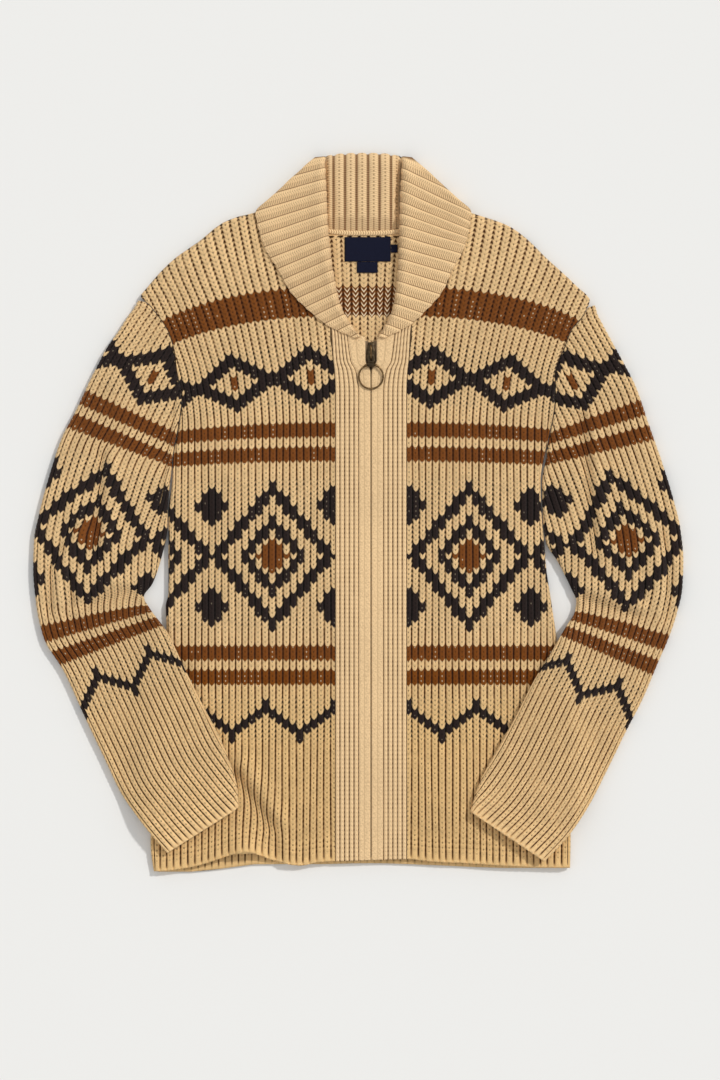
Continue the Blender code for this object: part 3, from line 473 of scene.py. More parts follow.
# ---------------------------------------------------------------- body panels
def hem_shift(x, y, front):
    share = np.where(y < HEM_BLEND, smooth(HEM_BLEND, HEM_Y, y), 0)
    return share * ((HEM_F if front else HEM_B)(x) - HEM_Y)


def panel_surface(side, x, y, front, creases=folds):
    """Points of a panel's outer face from their flat places, and the directions square to it."""
    edge, slope = EDGE[side][0](y), EDGE[side][0].slope(y)
    roll = np.radians(EDGE[side][1](y))
    nx = 1 / np.sqrt(1 + slope * slope)
    d = (side * x - edge) * nx + ROLL * np.sin(roll)
    up = 1.0 if front else -1.0
    shift = hem_shift(x, y, front)
    z = (BODY_H if front else 0.0) + np.zeros(d.shape)
    if front:
        calm = smooth(0, 26, -d)
        pull_x, pull_y = gathers(BODY_FOLDS, x, y + shift)
        x, y = x + pull_x * calm, y + pull_y * calm
        z = z + creases(BODY_FOLDS, x, y + shift) * calm
    turn = np.clip(d / ROLL, 0, roll)
    move = np.where(d > 0, ROLL * np.sin(turn) - d, 0)
    x2, y2 = x + side * nx * move, y - slope * nx * move
    z = z - up * ROLL * (1 - np.cos(turn))
    co = np.stack([x2, y2 + shift, z], -1)
    normal = np.stack([side * nx * np.sin(turn), -slope * nx * np.sin(turn), up * np.cos(turn)], -1)
    return co, normal


def panel_inner(side, y, front):
    if front:
        below = side * (BAND_OUT(y) + SEAM)
        above = side * np.maximum(side * (AXIS(y) + side * NECK_F(y)), 43.3)
        return np.where(y <= 183, below, above)
    middle = AXIS(296.5)
    return np.where(y <= 296.5, middle, AXIS(y) + side * NECK_B(y))


def panel_outer(side, y):
    edge, slope = EDGE[side][0](y), EDGE[side][0].slope(y)
    roll = np.radians(EDGE[side][1](y))
    return edge + ROLL * (roll - np.sin(roll)) * np.sqrt(1 + slope * slope)


def make_panel(cloth, side, front, columns, rows_a_course, chart, fine=True):
    centre = 0.0 if front else float(AXIS(296.5))
    top = (338 - HEM_Y) / COURSE
    rows = np.arange(0, top, 1 / rows_a_course)

    def flat(u, v, turned=0.0):
        s = u * WALE + (0.4 * np.sin(0.12 * v + 0.9 * u) + 0.5 * np.sin(0.043 * v * (1 + 0.3 * side) - 0.37 * u)) * smooth(0, 3, u)
        rise = chevron(u) + turned * (chevron(u + 0.5) - chevron(u))
        rise = rise * (0.25 + 0.75 * smooth(3, 6, v)) * smooth(0, 2, v)
        y = HEM_Y + COURSE * (v + rise)
        y = y - DROOP_AT(y) * (np.maximum(s, 0) / 201) ** 2.6
        return centre + side * s * FAN_AT(y), y

    def low_test(u, v):
        x, y = flat(u, v)
        return side * (x - panel_inner(side, y, front)) + (1e-6 if not front else 0)

    def high_test(u, v):
        x, y = flat(u, v)
        return np.minimum(panel_outer(side, y) - side * x, 330 - y)

    grid_u, grid_v = np.meshgrid(columns, rows)
    inside = (low_test(grid_u, grid_v) > 0) & (high_test(grid_u, grid_v) > 0)
    keep = inside.any(1)
    last = np.argmin(keep) if not keep.all() else len(keep)
    rows, grid_u, grid_v, inside = rows[:last], grid_u[:last], grid_v[:last], inside[:last]
    first = inside.argmax(1)
    run = np.cumsum(~inside & (np.arange(len(columns)) > first[:, None]), 1) == 0
    final = np.where(run, np.arange(len(columns)), 0).max(1)
    u_low = np.where(first > 0, first_crossing(lambda u: low_test(u, rows), columns[first],
                                               columns[np.maximum(first - 1, 0)]), columns[first])
    u_high = first_crossing(lambda u: high_test(u, rows), columns[final], columns[final + 1])
    ok = (u_high - u_low) * WALE > 2.0
    if not ok.all():
        last = np.argmin(ok)
        rows, grid_u, grid_v = rows[:last], grid_u[:last], grid_v[:last]
        first, final, u_low, u_high = first[:last], final[:last], u_low[:last], u_high[:last]

    u = np.clip(grid_u, u_low[:, None], u_high[:, None])
    v = grid_v
    x, y = flat(u, v)
    co, normal = panel_surface(side, x, y, front)
    seam = smooth(0, 1.2, (u_high[:, None] - u) * WALE) * (smooth(0, 1.2, (u - u_low[:, None]) * WALE) if front else 1)
    deep = 1.0 if fine else 0.72
    co = co + normal * (stitch_relief(u, v, deep) * seam)[..., None]
    ids = cloth.points(co)
    pick = np.clip(np.arange(len(columns))[None, :], np.maximum(first - 1, 0)[:, None], (final + 1)[:, None])
    ids = np.take_along_axis(ids, pick, 1)
    wale = np.floor((columns[:-1] + columns[1:]) / 2)
    course = np.floor(rows[:-1] + 0.5 / rows_a_course)
    cloth.grid(ids, u, v, chart(wale[None, :], course[:, None]))

    # Inner face: few columns on a front, and on the back enough for the knit that shows in the neck
    if front:
        over = np.array([0, 0.1, 0.2, 0.32, 0.45, 0.58, 0.7, 0.8, 0.9])
        roll_u = np.array([1.15, 0.85, 0.55, 0.25, 0])
        start = u_high - np.minimum(1.5, 0.3 * (u_high - u_low))
        inner_u = np.concatenate([u_low[:, None] + (start - u_low)[:, None] * over[None, :],
                                  u_high[:, None] - np.minimum(roll_u[None, :], 0.2 * (u_high - u_low)[:, None])], 1)
    else:
        near = np.maximum(np.arange(0, 8.01, 1 / 4)[None, :], u_low[:, None])
        far = near[:, -1:] + (u_high[:, None] - near[:, -1:]) * np.array([0.15, 0.35, 0.55, 0.75, 0.88])[None, :]
        roll_u = np.minimum(np.array([1.15, 0.85, 0.55, 0.25, 0])[None, :], 0.08 * (u_high[:, None] - near[:, -1:]))
        inner_u = np.concatenate([near, far, u_high[:, None] - roll_u], 1)
    inner_v = np.broadcast_to(rows[:, None], inner_u.shape)
    x0, y0 = flat(u_low, rows)
    x1, y1 = flat(u_high, rows)
    share = (inner_u - u_low[:, None]) / (u_high - u_low)[:, None]
    xm, ym = flat(inner_u, inner_v, 0.0 if front else smooth(8.5, 7, inner_u))
    rise = y0[:, None] + (y1 - y0)[:, None] * share if front else ym
    co, normal = panel_surface(side, np.where(share >= 1, x1[:, None], xm), rise, front, folds_under)
    thick = WALL - 0.3 + 0.9 * smooth(HEM_Y + 8, HEM_Y + 40, rise) * smooth(0, 0.2, share)
    if not front:
        knit = np.where(inner_u < 8.01, 1, 0) * smooth(0, 1, (u_high[:, None] - inner_u) / 2)
        thick = WALL - 0.3 + 0.3 * knit + stitch_relief(inner_u + 0.5, inner_v, 0.62) * knit
    inner = cloth.points(co - normal * thick[..., None])
    tone = chart_inside(np.floor((inner_u[0, :-1] + inner_u[0, 1:]) / 2)[None, :], course[:, None]) if not front else 0
    cloth.grid(inner, inner_u if front else inner_u + 0.5, inner_v, tone)

    # Rims
    sides = [(ids[:, -1], inner[:, -1], u_high)]
    if front:
        sides.append((ids[:, 0], inner[:, 0], u_low))
    else:
        open_rows = flat(u_low, rows)[1] > 296.5
        part = np.argmax(open_rows)
        cloth.grid(np.stack([ids[part - 1:, 0], inner[part - 1:, 0]], 1), np.stack([u_low[part - 1:]] * 2, 1),
                   rows[part - 1:, None], 0)
    for a, b, ue in sides:
        edge_tone = chart(np.floor(ue[:-1])[:, None], course[:, None])[:, :1] if front else 0
        cloth.grid(np.stack([a, b], 1), np.stack([ue, ue], 1), rows[:, None], edge_tone)
    for r in (0, -1):
        span = slice(max(first[r] - 1, 0), final[r] + 2)
        ua = u[r, span]
        cloth.zipper(ids[r, span], ua, inner[r], inner_u[r], np.stack([ua, 0 * ua + rows[r]], -1),
                     np.stack([inner_u[r], 0 * inner_u[r] + rows[r] - 0.5], -1))
    return cloth


# ---------------------------------------------------------------- sleeves
def sleeve_rows(side):
    """The sleeve table sampled closely, with each row's width and directions."""
    table = SLEEVE[side]
    count = len(table)
    places = np.linspace(0, count - 1, 2401)
    first_ring = next(i for i, row in enumerate(table) if row[4] >= 90)
    curves = [Curve(list(range(count)), column(table, k)) for k in range(7)]

    def line(at):
        row = [c(at) for c in curves]
        edge, slope = EDGE[side][0](row[3]), EDGE[side][0].slope(row[3])
        out = edge + (SEAM + 0.5) * np.sqrt(1 + slope * slope)
        seamed = (row[4] < 89.9) | ((row[6] < 0.001) & (side * row[2] < out))
        row[2] = np.where(seamed, side * out, row[2])
        return row

    row = line(places)
    above, below = line(np.maximum(places - 0.2, 0)), line(np.minimum(places + 0.2, count - 1))
    wide = np.hypot(row[2] - row[0], row[3] - row[1])
    ux, uy = (row[2] - row[0]) / wide, (row[3] - row[1]) / wide
    tx, ty = below[2] - above[2], below[3] - above[3]
    length = np.hypot(tx, ty)
    nx, ny = ty / length, -tx / length
    flip = np.where(nx * ux + ny * uy < 0, -1, 1)
    nx, ny = nx * flip, ny * flip
    square = nx * ux + ny * uy
    poor = square < 0.55
    nx, ny, square = np.where(poor, ux, nx), np.where(poor, uy, ny), np.where(poor, 1.0, square)
    roll = np.radians(np.where(places >= first_ring, 90, np.minimum(row[4], 89)))
    r = row[5] / 2
    start = wide - r * np.sin(roll) / square
    way = np.pi * r / 2 + start - r + r * roll / square
    data = dict(ox=row[0], oy=row[1], roll=roll, r=r, climb=row[6], wide=wide, ux=ux, uy=uy, nx=nx, ny=ny,
                square=square, start=start, way=way)
    # Courses are counted from the cuff, along a line a third of the way in from the outer fold
    mx, my = row[0] + 0.3 * wide * ux, row[1] + 0.3 * wide * uy
    step = np.hypot(np.diff(mx), np.diff(my))
    run = np.concatenate([[0], np.cumsum(step)])
    courses = (run[-1] - run) / COURSE
    return data, places, courses, first_ring


def make_sleeve(name, side, chart):
    data, places, courses, first_ring = sleeve_rows(side)
    total = courses[0]

    def place_of(v):
        return np.interp(total - v, total - courses, places)

    def at(place, key):
        return np.interp(place, places, data[key])

    columns = np.concatenate([wale_columns(-22, -2, COARSE), wale_columns(-2, 22, FINE)])
    rows = np.append(np.arange(0, total - 0.2, 1 / 3), total)

    def lift(u, v):
        return chevron(u) * (0.25 + 0.75 * smooth(5, 8, v)) * smooth(0, 2, v) * smooth(0, 2.5, total - v)

    def surface(place, s, creases=folds):
        p = {key: at(place, key) for key in data}
        r, quarter = p["r"], np.pi * p["r"] / 2
        along = np.abs(s)
        theta = np.minimum(along / r, np.pi / 2)
        bend = along <= quarter
        e = np.where(bend, r * (1 - np.cos(theta)), r + along - quarter)
        up = np.where(bend, np.sin(theta), 1.0)
        outx, outy = np.where(bend, -p["ux"] * np.cos(theta), 0), np.where(bend, -p["uy"] * np.cos(theta), 0)
        a = np.where(e > p["start"], (e - p["start"]) * p["square"], 0)
        past = e > p["start"]
        up = np.where(past, np.cos(a / r), up)
        outx = np.where(past, p["nx"] * np.sin(a / r), outx)
        outy = np.where(past, p["ny"] * np.sin(a / r), outy)
        move = np.where(past, r * np.sin(a / r) - a, 0)
        x = p["ox"] + p["ux"] * e + p["nx"] * move
        y = p["oy"] + p["uy"] * e + p["ny"] * move
        calm = smooth(0, 18, e - 2) * smooth(0, 8, p["wide"] - e - 2) * up
        pull_x, pull_y = gathers(SLEEVE_FOLDS[side], x, y)
        x, y = x + np.where(s > 0, pull_x * calm, 0), y + np.where(s > 0, pull_y * calm, 0)
        edge = EDGE[side][0](np.maximum(y, -370))
        z = r + p["climb"] * (BODY_H + 1.1) * smooth(edge + CLIMB_FOOT, edge + CLIMB_TOP, side * x)
        z = z + np.where(s > 0, creases(SLEEVE_FOLDS[side], x, y) * calm, 0)
        face = np.where(s >= 0, 1.0, -1.0)
        co = np.stack([x, y, z + face * r * up], -1)
        return co, np.stack([outx, outy, face * up], -1)

    def pitch(v):
        """The wales lie closer together below the elbow."""
        return 6.1 + 1.1 * smooth(40, 62, v)

    def spare(u, v):
        return at(place_of(v + lift(u, v)), "way") - np.abs(u * pitch(v))

    grid_u, grid_v = np.meshgrid(columns, rows)
    inside = spare(grid_u, grid_v) > 0
    first = inside.argmax(1)
    final = len(columns) - 1 - inside[:, ::-1].argmax(1)
    u_low = first_crossing(lambda u: spare(u, rows), columns[first], columns[first - 1])
    u_high = first_crossing(lambda u: spare(u, rows), columns[final], columns[final + 1])
    ring = place_of(rows) >= first_ring
    u = np.clip(grid_u, u_low[:, None], u_high[:, None])
    v = grid_v
    place = place_of(v + lift(u, v))
    # On the closed rows both edges meet in one point, at the same place down the sleeve
    edge_place = place_of(rows + 0.4 * smooth(0, 2, rows) * smooth(0, 2.5, total - rows))
    at_edge = (u <= u_low[:, None]) | (u >= u_high[:, None])
    place = np.where(at_edge, edge_place[:, None], place)
    s = np.where(u <= u_low[:, None], -at(place, "way"), np.where(u >= u_high[:, None], at(place, "way"), u * pitch(v)))
    co, normal = surface(place, s)
    fade = smooth(0, 2.5, np.minimum(u_high[:, None] - u, u - u_low[:, None]) * WALE)
    co = co + normal * (stitch_relief(u, v) * fade)[..., None]
    cloth = Cloth()
    ids = cloth.points(co)
    pick = np.clip(np.arange(len(columns))[None, :], (first - 1)[:, None], (final + 1)[:, None])
    ids = np.take_along_axis(ids, pick, 1)
    ids[ring, :] = np.where(ids[ring, :] == ids[ring, :1], ids[ring, -1:], ids[ring, :])
    wale = np.floor((columns[:-1] + columns[1:]) / 2)
    course = np.floor(rows[:-1] + 0.5 / 3)
    cloth.grid(ids, u, v, chart(wale[None, :], course[:, None]))

    half = np.array([0, 0.02, 0.045, 0.07, 0.12, 0.2, 0.3, 0.4, 0.5, 0.6, 0.7, 0.8, 0.88, 0.94, 1])
    turn = np.concatenate([-half[:0:-1], half])
    ip = np.broadcast_to(edge_place[:, None], (len(rows), len(turn)))
    way = at(edge_place, "way")[:, None]
    co, normal = surface(ip, way * turn[None, :], folds_under)
    deeper = 1.2 * (turn > 0) * smooth(0.07, 0.2, np.abs(turn)) * smooth(1, 0.8, np.abs(turn))
    inner = cloth.points(co - normal * (WALL - 0.2 + deeper[None, :] * smooth(2, 8, rows)[:, None])[..., None])
    inner[ring, 0] = inner[ring, -1]
    iu, iv = way * turn[None, :] / pitch(rows)[:, None], np.broadcast_to(rows[:, None], ip.shape)
    cloth.grid(inner, iu, iv, 0)
    join = np.argmin(ring) if not ring.all() else len(ring)
    for k, ue in ((0, u_low), (-1, u_high)):
        cloth.grid(np.stack([ids[join - 1:, k], inner[join - 1:, k]], 1), np.stack([ue[join - 1:]] * 2, 1),
                   rows[join - 1:, None], 0)
    for r in (0, -1):
        span = slice(first[r] - 1, final[r] + 2)
        ua = u[r, span]
        cloth.zipper(ids[r, span], ua, inner[r], iu[r], np.stack([ua, 0 * ua + rows[r]], -1),
                     np.stack([iu[r], 0 * iu[r] + rows[r] - 0.5], -1))
    return cloth.build(name)


# ---------------------------------------------------------------- bands
def make_band(name, side):
    """A front band: ribs beside a smooth strip along the zip."""
    strip, ribs = 12.6, 5.0
    total = 3 + ribs
    columns = np.unique(np.round(np.concatenate([np.arange(0, 3.01, 0.25), np.arange(3, total + 0.001, 1 / 6), [total]]), 4))
    rows = np.arange(0, (183 - HEM_Y) / 4.7 + 1, 1 / 3)
    rows = rows * ((183 - HEM_Y) / 4.7) / rows[-1]
    u, v = np.meshgrid(columns, rows)
    y = HEM_Y + 4.7 * v
    inner = (strip + 7.5 * smooth(128, 183, y)) / 37.5
    share = np.where(u < 3, u / 3 * inner, inner + (u - 3) / ribs * (1 - inner))
    # By the slider the ribs keep their width and run out under the collar
    wide = BAND_OUT(y) - BAND_IN(y)
    x = side * (BAND_IN(y) + wide * share)
    end = smooth(-340, HEM_Y, y)
    y2 = y + end * (HEM_F(x) - HEM_Y) + smooth(155, 183, y) * (2.6 + 13.4 * share ** 1.1)
    rib = u >= 3
    d = across_wale(u)
    fv = v - np.floor(v)
    relief = np.where(rib, -1.35 * smooth(0.45, 1.0, d) + 0.07 * np.sin(2 * np.pi * (fv + 0.5 * d)) * (1 - d),
                      -0.10 - 0.30 * np.exp(-((u - 1.55) / 0.3) ** 2))
    relief = relief - 0.7 * np.exp(-((u - 3) / 0.16) ** 2)
    z = BAND_TOP + relief
    z = z - 0.6 * (np.maximum(0, 1 - share * 37.5 / 1.1) ** 2 + np.maximum(0, 1 - (1 - share) * 37.5 / 1.1) ** 2)
    z = z + 0.35 * np.sin(y / 37.0 + side) * np.sin(np.pi * share) * 0.6
    cloth = Cloth()
    ids = cloth.points(np.stack([x, y2, z], -1))
    cloth.grid(ids, u, v, 0)
    low_columns = np.array([0, len(columns) // 3, 2 * len(columns) // 3, len(columns) - 1])
    co = np.stack([x, y2, np.full(x.shape, BAND_TOP - BAND_T)], -1)[:, low_columns]
    inner = cloth.points(co)
    cloth.grid(inner, u[:, low_columns], v[:, low_columns], 0)
    for k in (0, -1):
        cloth.grid(np.stack([ids[:, k], inner[:, k]], 1), np.stack([u[:, k]] * 2, 1), rows[:, None], 0)
    for r in (0, -1):
        cloth.zipper(ids[r], columns, inner[r], columns[low_columns], np.stack([u[r], v[r]], -1),
                     np.stack([u[r, low_columns], v[r, low_columns]], -1))
    return cloth.build(name)


# ---------------------------------------------------------------- collar
def section_curve(points, counts):
    """Smooth curve through each row's points: (rows, points, 2) to (rows, samples, 2), with its direction."""
    step = np.diff(points, axis=1)
    h = np.maximum(np.linalg.norm(step, axis=2), 1e-4)
    d = step / h[..., None]
    m = np.concatenate([d[:, :1], (d[:, :-1] * h[:, 1:, None] + d[:, 1:] * h[:, :-1, None])
                        / (h[:, :-1] + h[:, 1:])[..., None], d[:, -1:]], 1)
    out, way = [], []
    for i, n in enumerate(counts):
        ts = np.arange(n) / n if i < len(counts) - 1 else np.arange(n + 1) / n
        t = ts[None, :, None]
        a, b, p, q, hh = points[:, i, None], points[:, i + 1, None], m[:, i, None], m[:, i + 1, None], h[:, i, None, None]
        out.append((1 + 2 * t) * (1 - t) ** 2 * a + t * (1 - t) ** 2 * hh * p + t * t * (3 - 2 * t) * b + t * t * (t - 1) * hh * q)
        way.append((6 * t * t - 6 * t) * a / hh + (3 * t * t - 4 * t + 1) * p + (6 * t - 6 * t * t) * b / hh + (3 * t * t - 2 * t) * q)
    out, way = np.concatenate(out, 1), np.concatenate(way, 1)
    return out, way / np.maximum(np.linalg.norm(way, axis=2, keepdims=True), 1e-6)


def rib_relief(u, depth):
    """Rounded ribs with narrow valleys."""
    return -depth * across_wale(u) ** 2.6


def flap_relief(u, depth):
    """A round wale, then a lower strip of slanting stitches, then a thin furrow."""
    f = u - np.floor(u)
    wale = np.sin(np.pi * np.clip(f / 0.58, 0, 1)) ** 0.8
    strip = 0.25 * np.sin(np.pi * np.clip((f - 0.56) / 0.44, 0, 1))
    return depth * (np.maximum(wale, strip) - 1.0)


def make_flap(name, side):
    places = np.arange(len(COLLAR))
    rx, ry, ex, ey, zr, ze = [Curve(list(places), column(COLLAR, k)) for k in range(6)]
    drop = curve(RIB_DROP, 1 if side < 0 else 2)
    # Rows run along the ribs, evenly down the roll line
    dense = np.linspace(0, len(COLLAR) - 1, 3001)
    run = np.concatenate([[0], np.cumsum(np.hypot(np.diff(rx(dense)), np.diff(ry(dense))))])
    ribs = run[-1] / COLLAR_RIB
    u = np.linspace(0, ribs, int(ribs * 10) + 1)
    a = np.interp(u * COLLAR_RIB, run, dense)
    px, py = rx(a), ry(a)
    angle = np.radians(drop(a))
    dx, dy = np.cos(angle), -np.sin(angle)
    gx, gy = ex(dense)[None, :] - px[:, None], ey(dense)[None, :] - py[:, None]
    over = (gy * dx[:, None] - gx * dy[:, None]) < 0
    hit = np.where(over.any(1), over.argmax(1), len(dense) - 1)
    b = np.maximum.accumulate(dense[hit])
    b[0], b[-1] = min(b[0], 0.35), places[-1]
    qx, qy = ex(b), ey(b)
    length = np.hypot(qx - px, qy - py)
    k = np.minimum(1, length / 22)
    top, edge = zr(a), ze(b)
    fall = top - edge
    foot = 3.9 + (2.6 if side < 0 else 0.2) * smooth(297, 330, py)
    rest = 0.5 + 9.45 * smooth(328, 316, qy)
    deep = edge - rest
    groove = smooth(3, 8, deep)
    pts = [(0.6 + 0 * length, foot), (0 * length, top - 7.5), (1.7 * k, top - 2.4), (5.4 * k, top),
           (0.25 * (length - 3.2 * k) + 4.2 * k, top - 0.28 * fall), (0.62 * (length - 3.2 * k) + 2.2 * k, top - 0.7 * fall),
           (length - 3.2 * k, edge), (length - 0.9 * k, edge - 0.9), (length, edge - 2.2),
           (length - 0.2, edge - 2.2 - 0.35 * (deep - 2.2)), (length - 0.3 - 1.2 * groove, edge - 2.2 - 0.5 * (deep - 2.2)),
           (length - 0.2, edge - 2.2 - 0.65 * (deep - 2.2)), (length - 0.4, rest)]
    points = np.stack([np.stack(p, -1) for p in pts], 1)
    counts = [3, 2, 3, 16, 20, 18, 3, 2, 1, 1, 1, 1]
    path, way = section_curve(points, counts)
    out = np.stack([-way[..., 1], way[..., 0]], -1)
    v = np.concatenate([[0], np.cumsum(np.array(sum([[1.0 / n] * n for n in counts], [])))])
    span = np.concatenate([np.zeros((len(u), 1)), np.cumsum(np.linalg.norm(np.diff(path, axis=1), axis=2), 1)], 1)
    v = span / 4.4
    amount = smooth(0, 3, path[..., 0] + 2.0) * (1 - 0.55 * smooth(0, 3, path[..., 0] - length[:, None] + 2.5))
    relief = flap_relief(u[:, None] + 0.05 * np.sin(v * 0.55 + 1.7 * u[:, None]), 1.9) * amount
    relief = relief * (0.35 + 0.65 * smooth(0, 14, span)) - 0.10 * (1 + np.sin(2 * np.pi * 1.75 * v))
    path = path + out * relief[..., None]

    def lay(p):
        t = p[..., 0] / length[:, None]
        y = py[:, None] + (qy - py)[:, None] * t
        x = px[:, None] + (qx - px)[:, None] * t
        return np.stack([AXIS(y) + side * x, y, np.maximum(p[..., 1], 0.3)], -1)

    cloth = Cloth()
    ids = cloth.points(lay(path))
    uu = np.broadcast_to(u[:, None], v.shape)
    cloth.grid(ids, uu, v, 0)
    knots = np.concatenate([[0], np.cumsum(counts)])
    thick = np.array([1.2, 2.0, 2.6, 2.6, 2.6, 2.6, 2.2, 1.4, 1.0, 0.9, 0.9, 0.9, 0.9])
    inner_path = points - out[:, knots] * thick[None, :, None] - np.array([0, 2.0])[None, None, :] * (thick > 2.1)[None, :, None]
    inner = cloth.points(lay(inner_path))
    cloth.grid(inner, uu[:, knots], v[:, knots], 0)
    for c in (0, -1):
        cloth.grid(np.stack([ids[:, c], inner[:, c]], 1), np.stack([u, u], 1), v[:, c][:, None], 0)
    for r in (0, -1):
        cloth.zipper(ids[r], span[r], inner[r], span[r][knots], np.stack([uu[r], v[r]], -1),
                     np.stack([uu[r][knots], v[r][knots]], -1))
    return cloth.build(name)


def make_stand(name):
    """Back of the collar, seen from inside the neck, turned over at its upper fold."""
    points = np.array(STAND, float)[None]
    counts = [9, 14, 14, 9, 5, 4, 4]
    path, way = section_curve(points, counts)
    path, way = path[0], way[0]
    out = np.stack([-way[:, 1], way[:, 0]], -1)
    span = np.concatenate([[0], np.cumsum(np.linalg.norm(np.diff(path, axis=0), axis=1))])
    x = np.linspace(-52, 37, 7 * 12 + 6)
    u = (x + 52) / 12.2
    v = span / 4.4
    depth = 2.4 * smooth(4, 26, span)
    relief = rib_relief(u[None, :] + 0.04 * np.sin(0.5 * v[:, None] + u[None, :]), 1.0) * depth[:, None]
    relief = relief - 0.35 * across_wale(2 * u)[None, :] ** 2 * (1 - smooth(4, 26, span))[:, None]
    relief = relief - 0.12 * (1 + np.sin(2 * np.pi * v))[:, None] * (1 - across_wale(u))[None, :]
    y = path[:, :1] + out[:, :1] * relief
    z = np.maximum(path[:, 1:] + out[:, 1:] * relief, 0.3)
    y = y - (4.2 * np.abs((x[None, :] + 7.5) / 44.5) ** 3) * smooth(50, 84, span)[:, None]
    # It dips into a crease beside each flap, wider by the left one
    dip = 9.4 * smooth(21, 33, x) + 6.0 * smooth(-42, -50, x)
    z = np.maximum(z - dip[None, :] * (0.35 + 0.65 * smooth(4, 40, span)[:, None]), 0.3)
    cloth = Cloth()
    shape = y.shape
    ids = cloth.points(np.stack([np.broadcast_to(x[None, :], shape), y, z], -1))
    uu, vv = np.broadcast_to(u[None, :], shape), np.broadcast_to(v[:, None], shape)
    cloth.grid(ids, uu, vv, 0)
    knots = np.concatenate([[0], np.cumsum(counts)])
    thick = np.array([0.6, 2.2, 3.0, 3.0, 2.8, 2.2, 1.6, 1.0])
    few = np.array([0, 5, 12, len(x) // 3, 2 * len(x) // 3, len(x) - 21, len(x) - 10, len(x) - 5, len(x) - 1])
    low_y = (points[0][:, 0] - out[knots, 0] * thick)[:, None] + 0 * x[None, few]
    low_z = np.maximum((points[0][:, 1] - out[knots, 1] * thick)[:, None] - 2.4 * (thick > 1.9)[:, None] + 0 * x[None, few], 0.3)
    low_y = low_y - (4.2 * np.abs((x[None, few] + 7.5) / 44.5) ** 3) * smooth(50, 84, span[knots])[:, None]
    low_z = np.maximum(low_z - dip[None, few], 0.3)
    inner = cloth.points(np.stack([np.broadcast_to(x[None, few], low_y.shape), low_y, low_z], -1))
    cloth.grid(inner, uu[np.ix_(knots, few)], vv[np.ix_(knots, few)], 0)
    for c in (0, -1):
        cloth.zipper(ids[:, c], span, inner[:, c], span[knots], np.stack([uu[:, c], vv[:, c]], -1),
                     np.stack([uu[knots, c], vv[knots, c]], -1))
    for r in (0, -1):
        cloth.zipper(ids[r], x, inner[r], x[few], np.stack([uu[r], vv[r]], -1), np.stack([uu[r, few], vv[r, few]], -1))
    return cloth.build(name)


def make_neck_seam(name):
    """The ridge where the collar is linked to the back of the neck."""
    x = np.linspace(-54, 39, 187)
    middle = 296.2 + 3.0 * np.abs((x + 7.4) / 42) ** 3
    chain = 0.35 * np.sin(2 * np.pi * x / 2.6)
    angle = np.linspace(0, 2 * np.pi, 17)[:-1]
    across = np.cos(angle)[:, None] * (2.7 + 0.15 * chain)[None, :]
    y = middle[None, :] + across
    z = 3.9 + np.sin(angle)[:, None] * (1.5 + 0.25 * chain)[None, :]
    co = np.stack([np.broadcast_to(x[None, :], y.shape), y, z], -1)
    cloth = Cloth()
    ids = cloth.points(co)
    ids = np.concatenate([ids, ids[:1]])
    share = np.linspace(0, 2, 17)
    cloth.grid(ids, x[None, :] / 2.6, np.minimum(share, 2 - share)[:, None], 0)
    for c in (0, -1):
        end = ids[:-1, c]
        fan = np.array([(end[0], end[i], end[i + 1]) for i in range(1, 15)])
        cloth.add(fan, np.zeros((len(fan), 3, 2)), 0)
    return cloth.build(name)


# ---------------------------------------------------------------- zip
def make_teeth(name):
    """Metal teeth of both sides, meshed below the slider."""
    pitch = 2.5
    count = int((ZIP_TOP - 10 - 3 - (ZIP_FOOT + 10)) / pitch)
    shape = [(0.0, -0.62), (2.7, -0.52), (3.1, -0.25), (3.1, 0.25), (2.7, 0.52), (0.0, 0.62)]   # along the tooth, up the zip
    verts, tris = [], []
    n = len(shape)
    for i in range(count):
        for side in (-1, 1):
            y0 = ZIP_FOOT + 11.5 + pitch * (i + (0.5 if side > 0 else 0))
            base = len(verts)
            for z, inset in ((5.05, 0.12), (5.3, 0), (6.5, 0), (6.75, 0.14)):
                for a, b in shape:
                    across = (a - 2.2) * (1 - inset)
                    verts.append((-side * across, y0 + b * (1 - inset), z))
            for ring in range(3):
                for j in range(n):
                    p, q = base + ring * n + j, base + ring * n + (j + 1) % n
                    tris += [(p, q, q + n), (p, q + n, p + n)]
            for ring in (0, 3):
                for j in range(1, n - 1):
                    tris.append((base + ring * n, base + ring * n + j, base + ring * n + j + 1))
    cloth = Cloth()
    cloth.points(np.array(verts))
    tris = np.array(tris)
    cloth.add(tris, np.zeros((len(tris), 3, 2)), 0)
    obj = cloth.build(name)
    obj.data.shade_flat()
    return obj


def tube(cloth, rings):
    """A closed solid through rings of points, all with the same count."""
    ids = cloth.points(rings)
    wrapped = np.concatenate([ids, ids[:, :1]], 1)
    cloth.grid(wrapped, np.linspace(0, 1, wrapped.shape[1])[None, :], np.arange(len(ids))[:, None], 0)
    for row in (ids[0], ids[-1]):
        fan = np.array([(row[0], row[i], row[i + 1]) for i in range(1, len(row) - 1)])
        cloth.add(fan, np.zeros((len(fan), 3, 2)), 0)


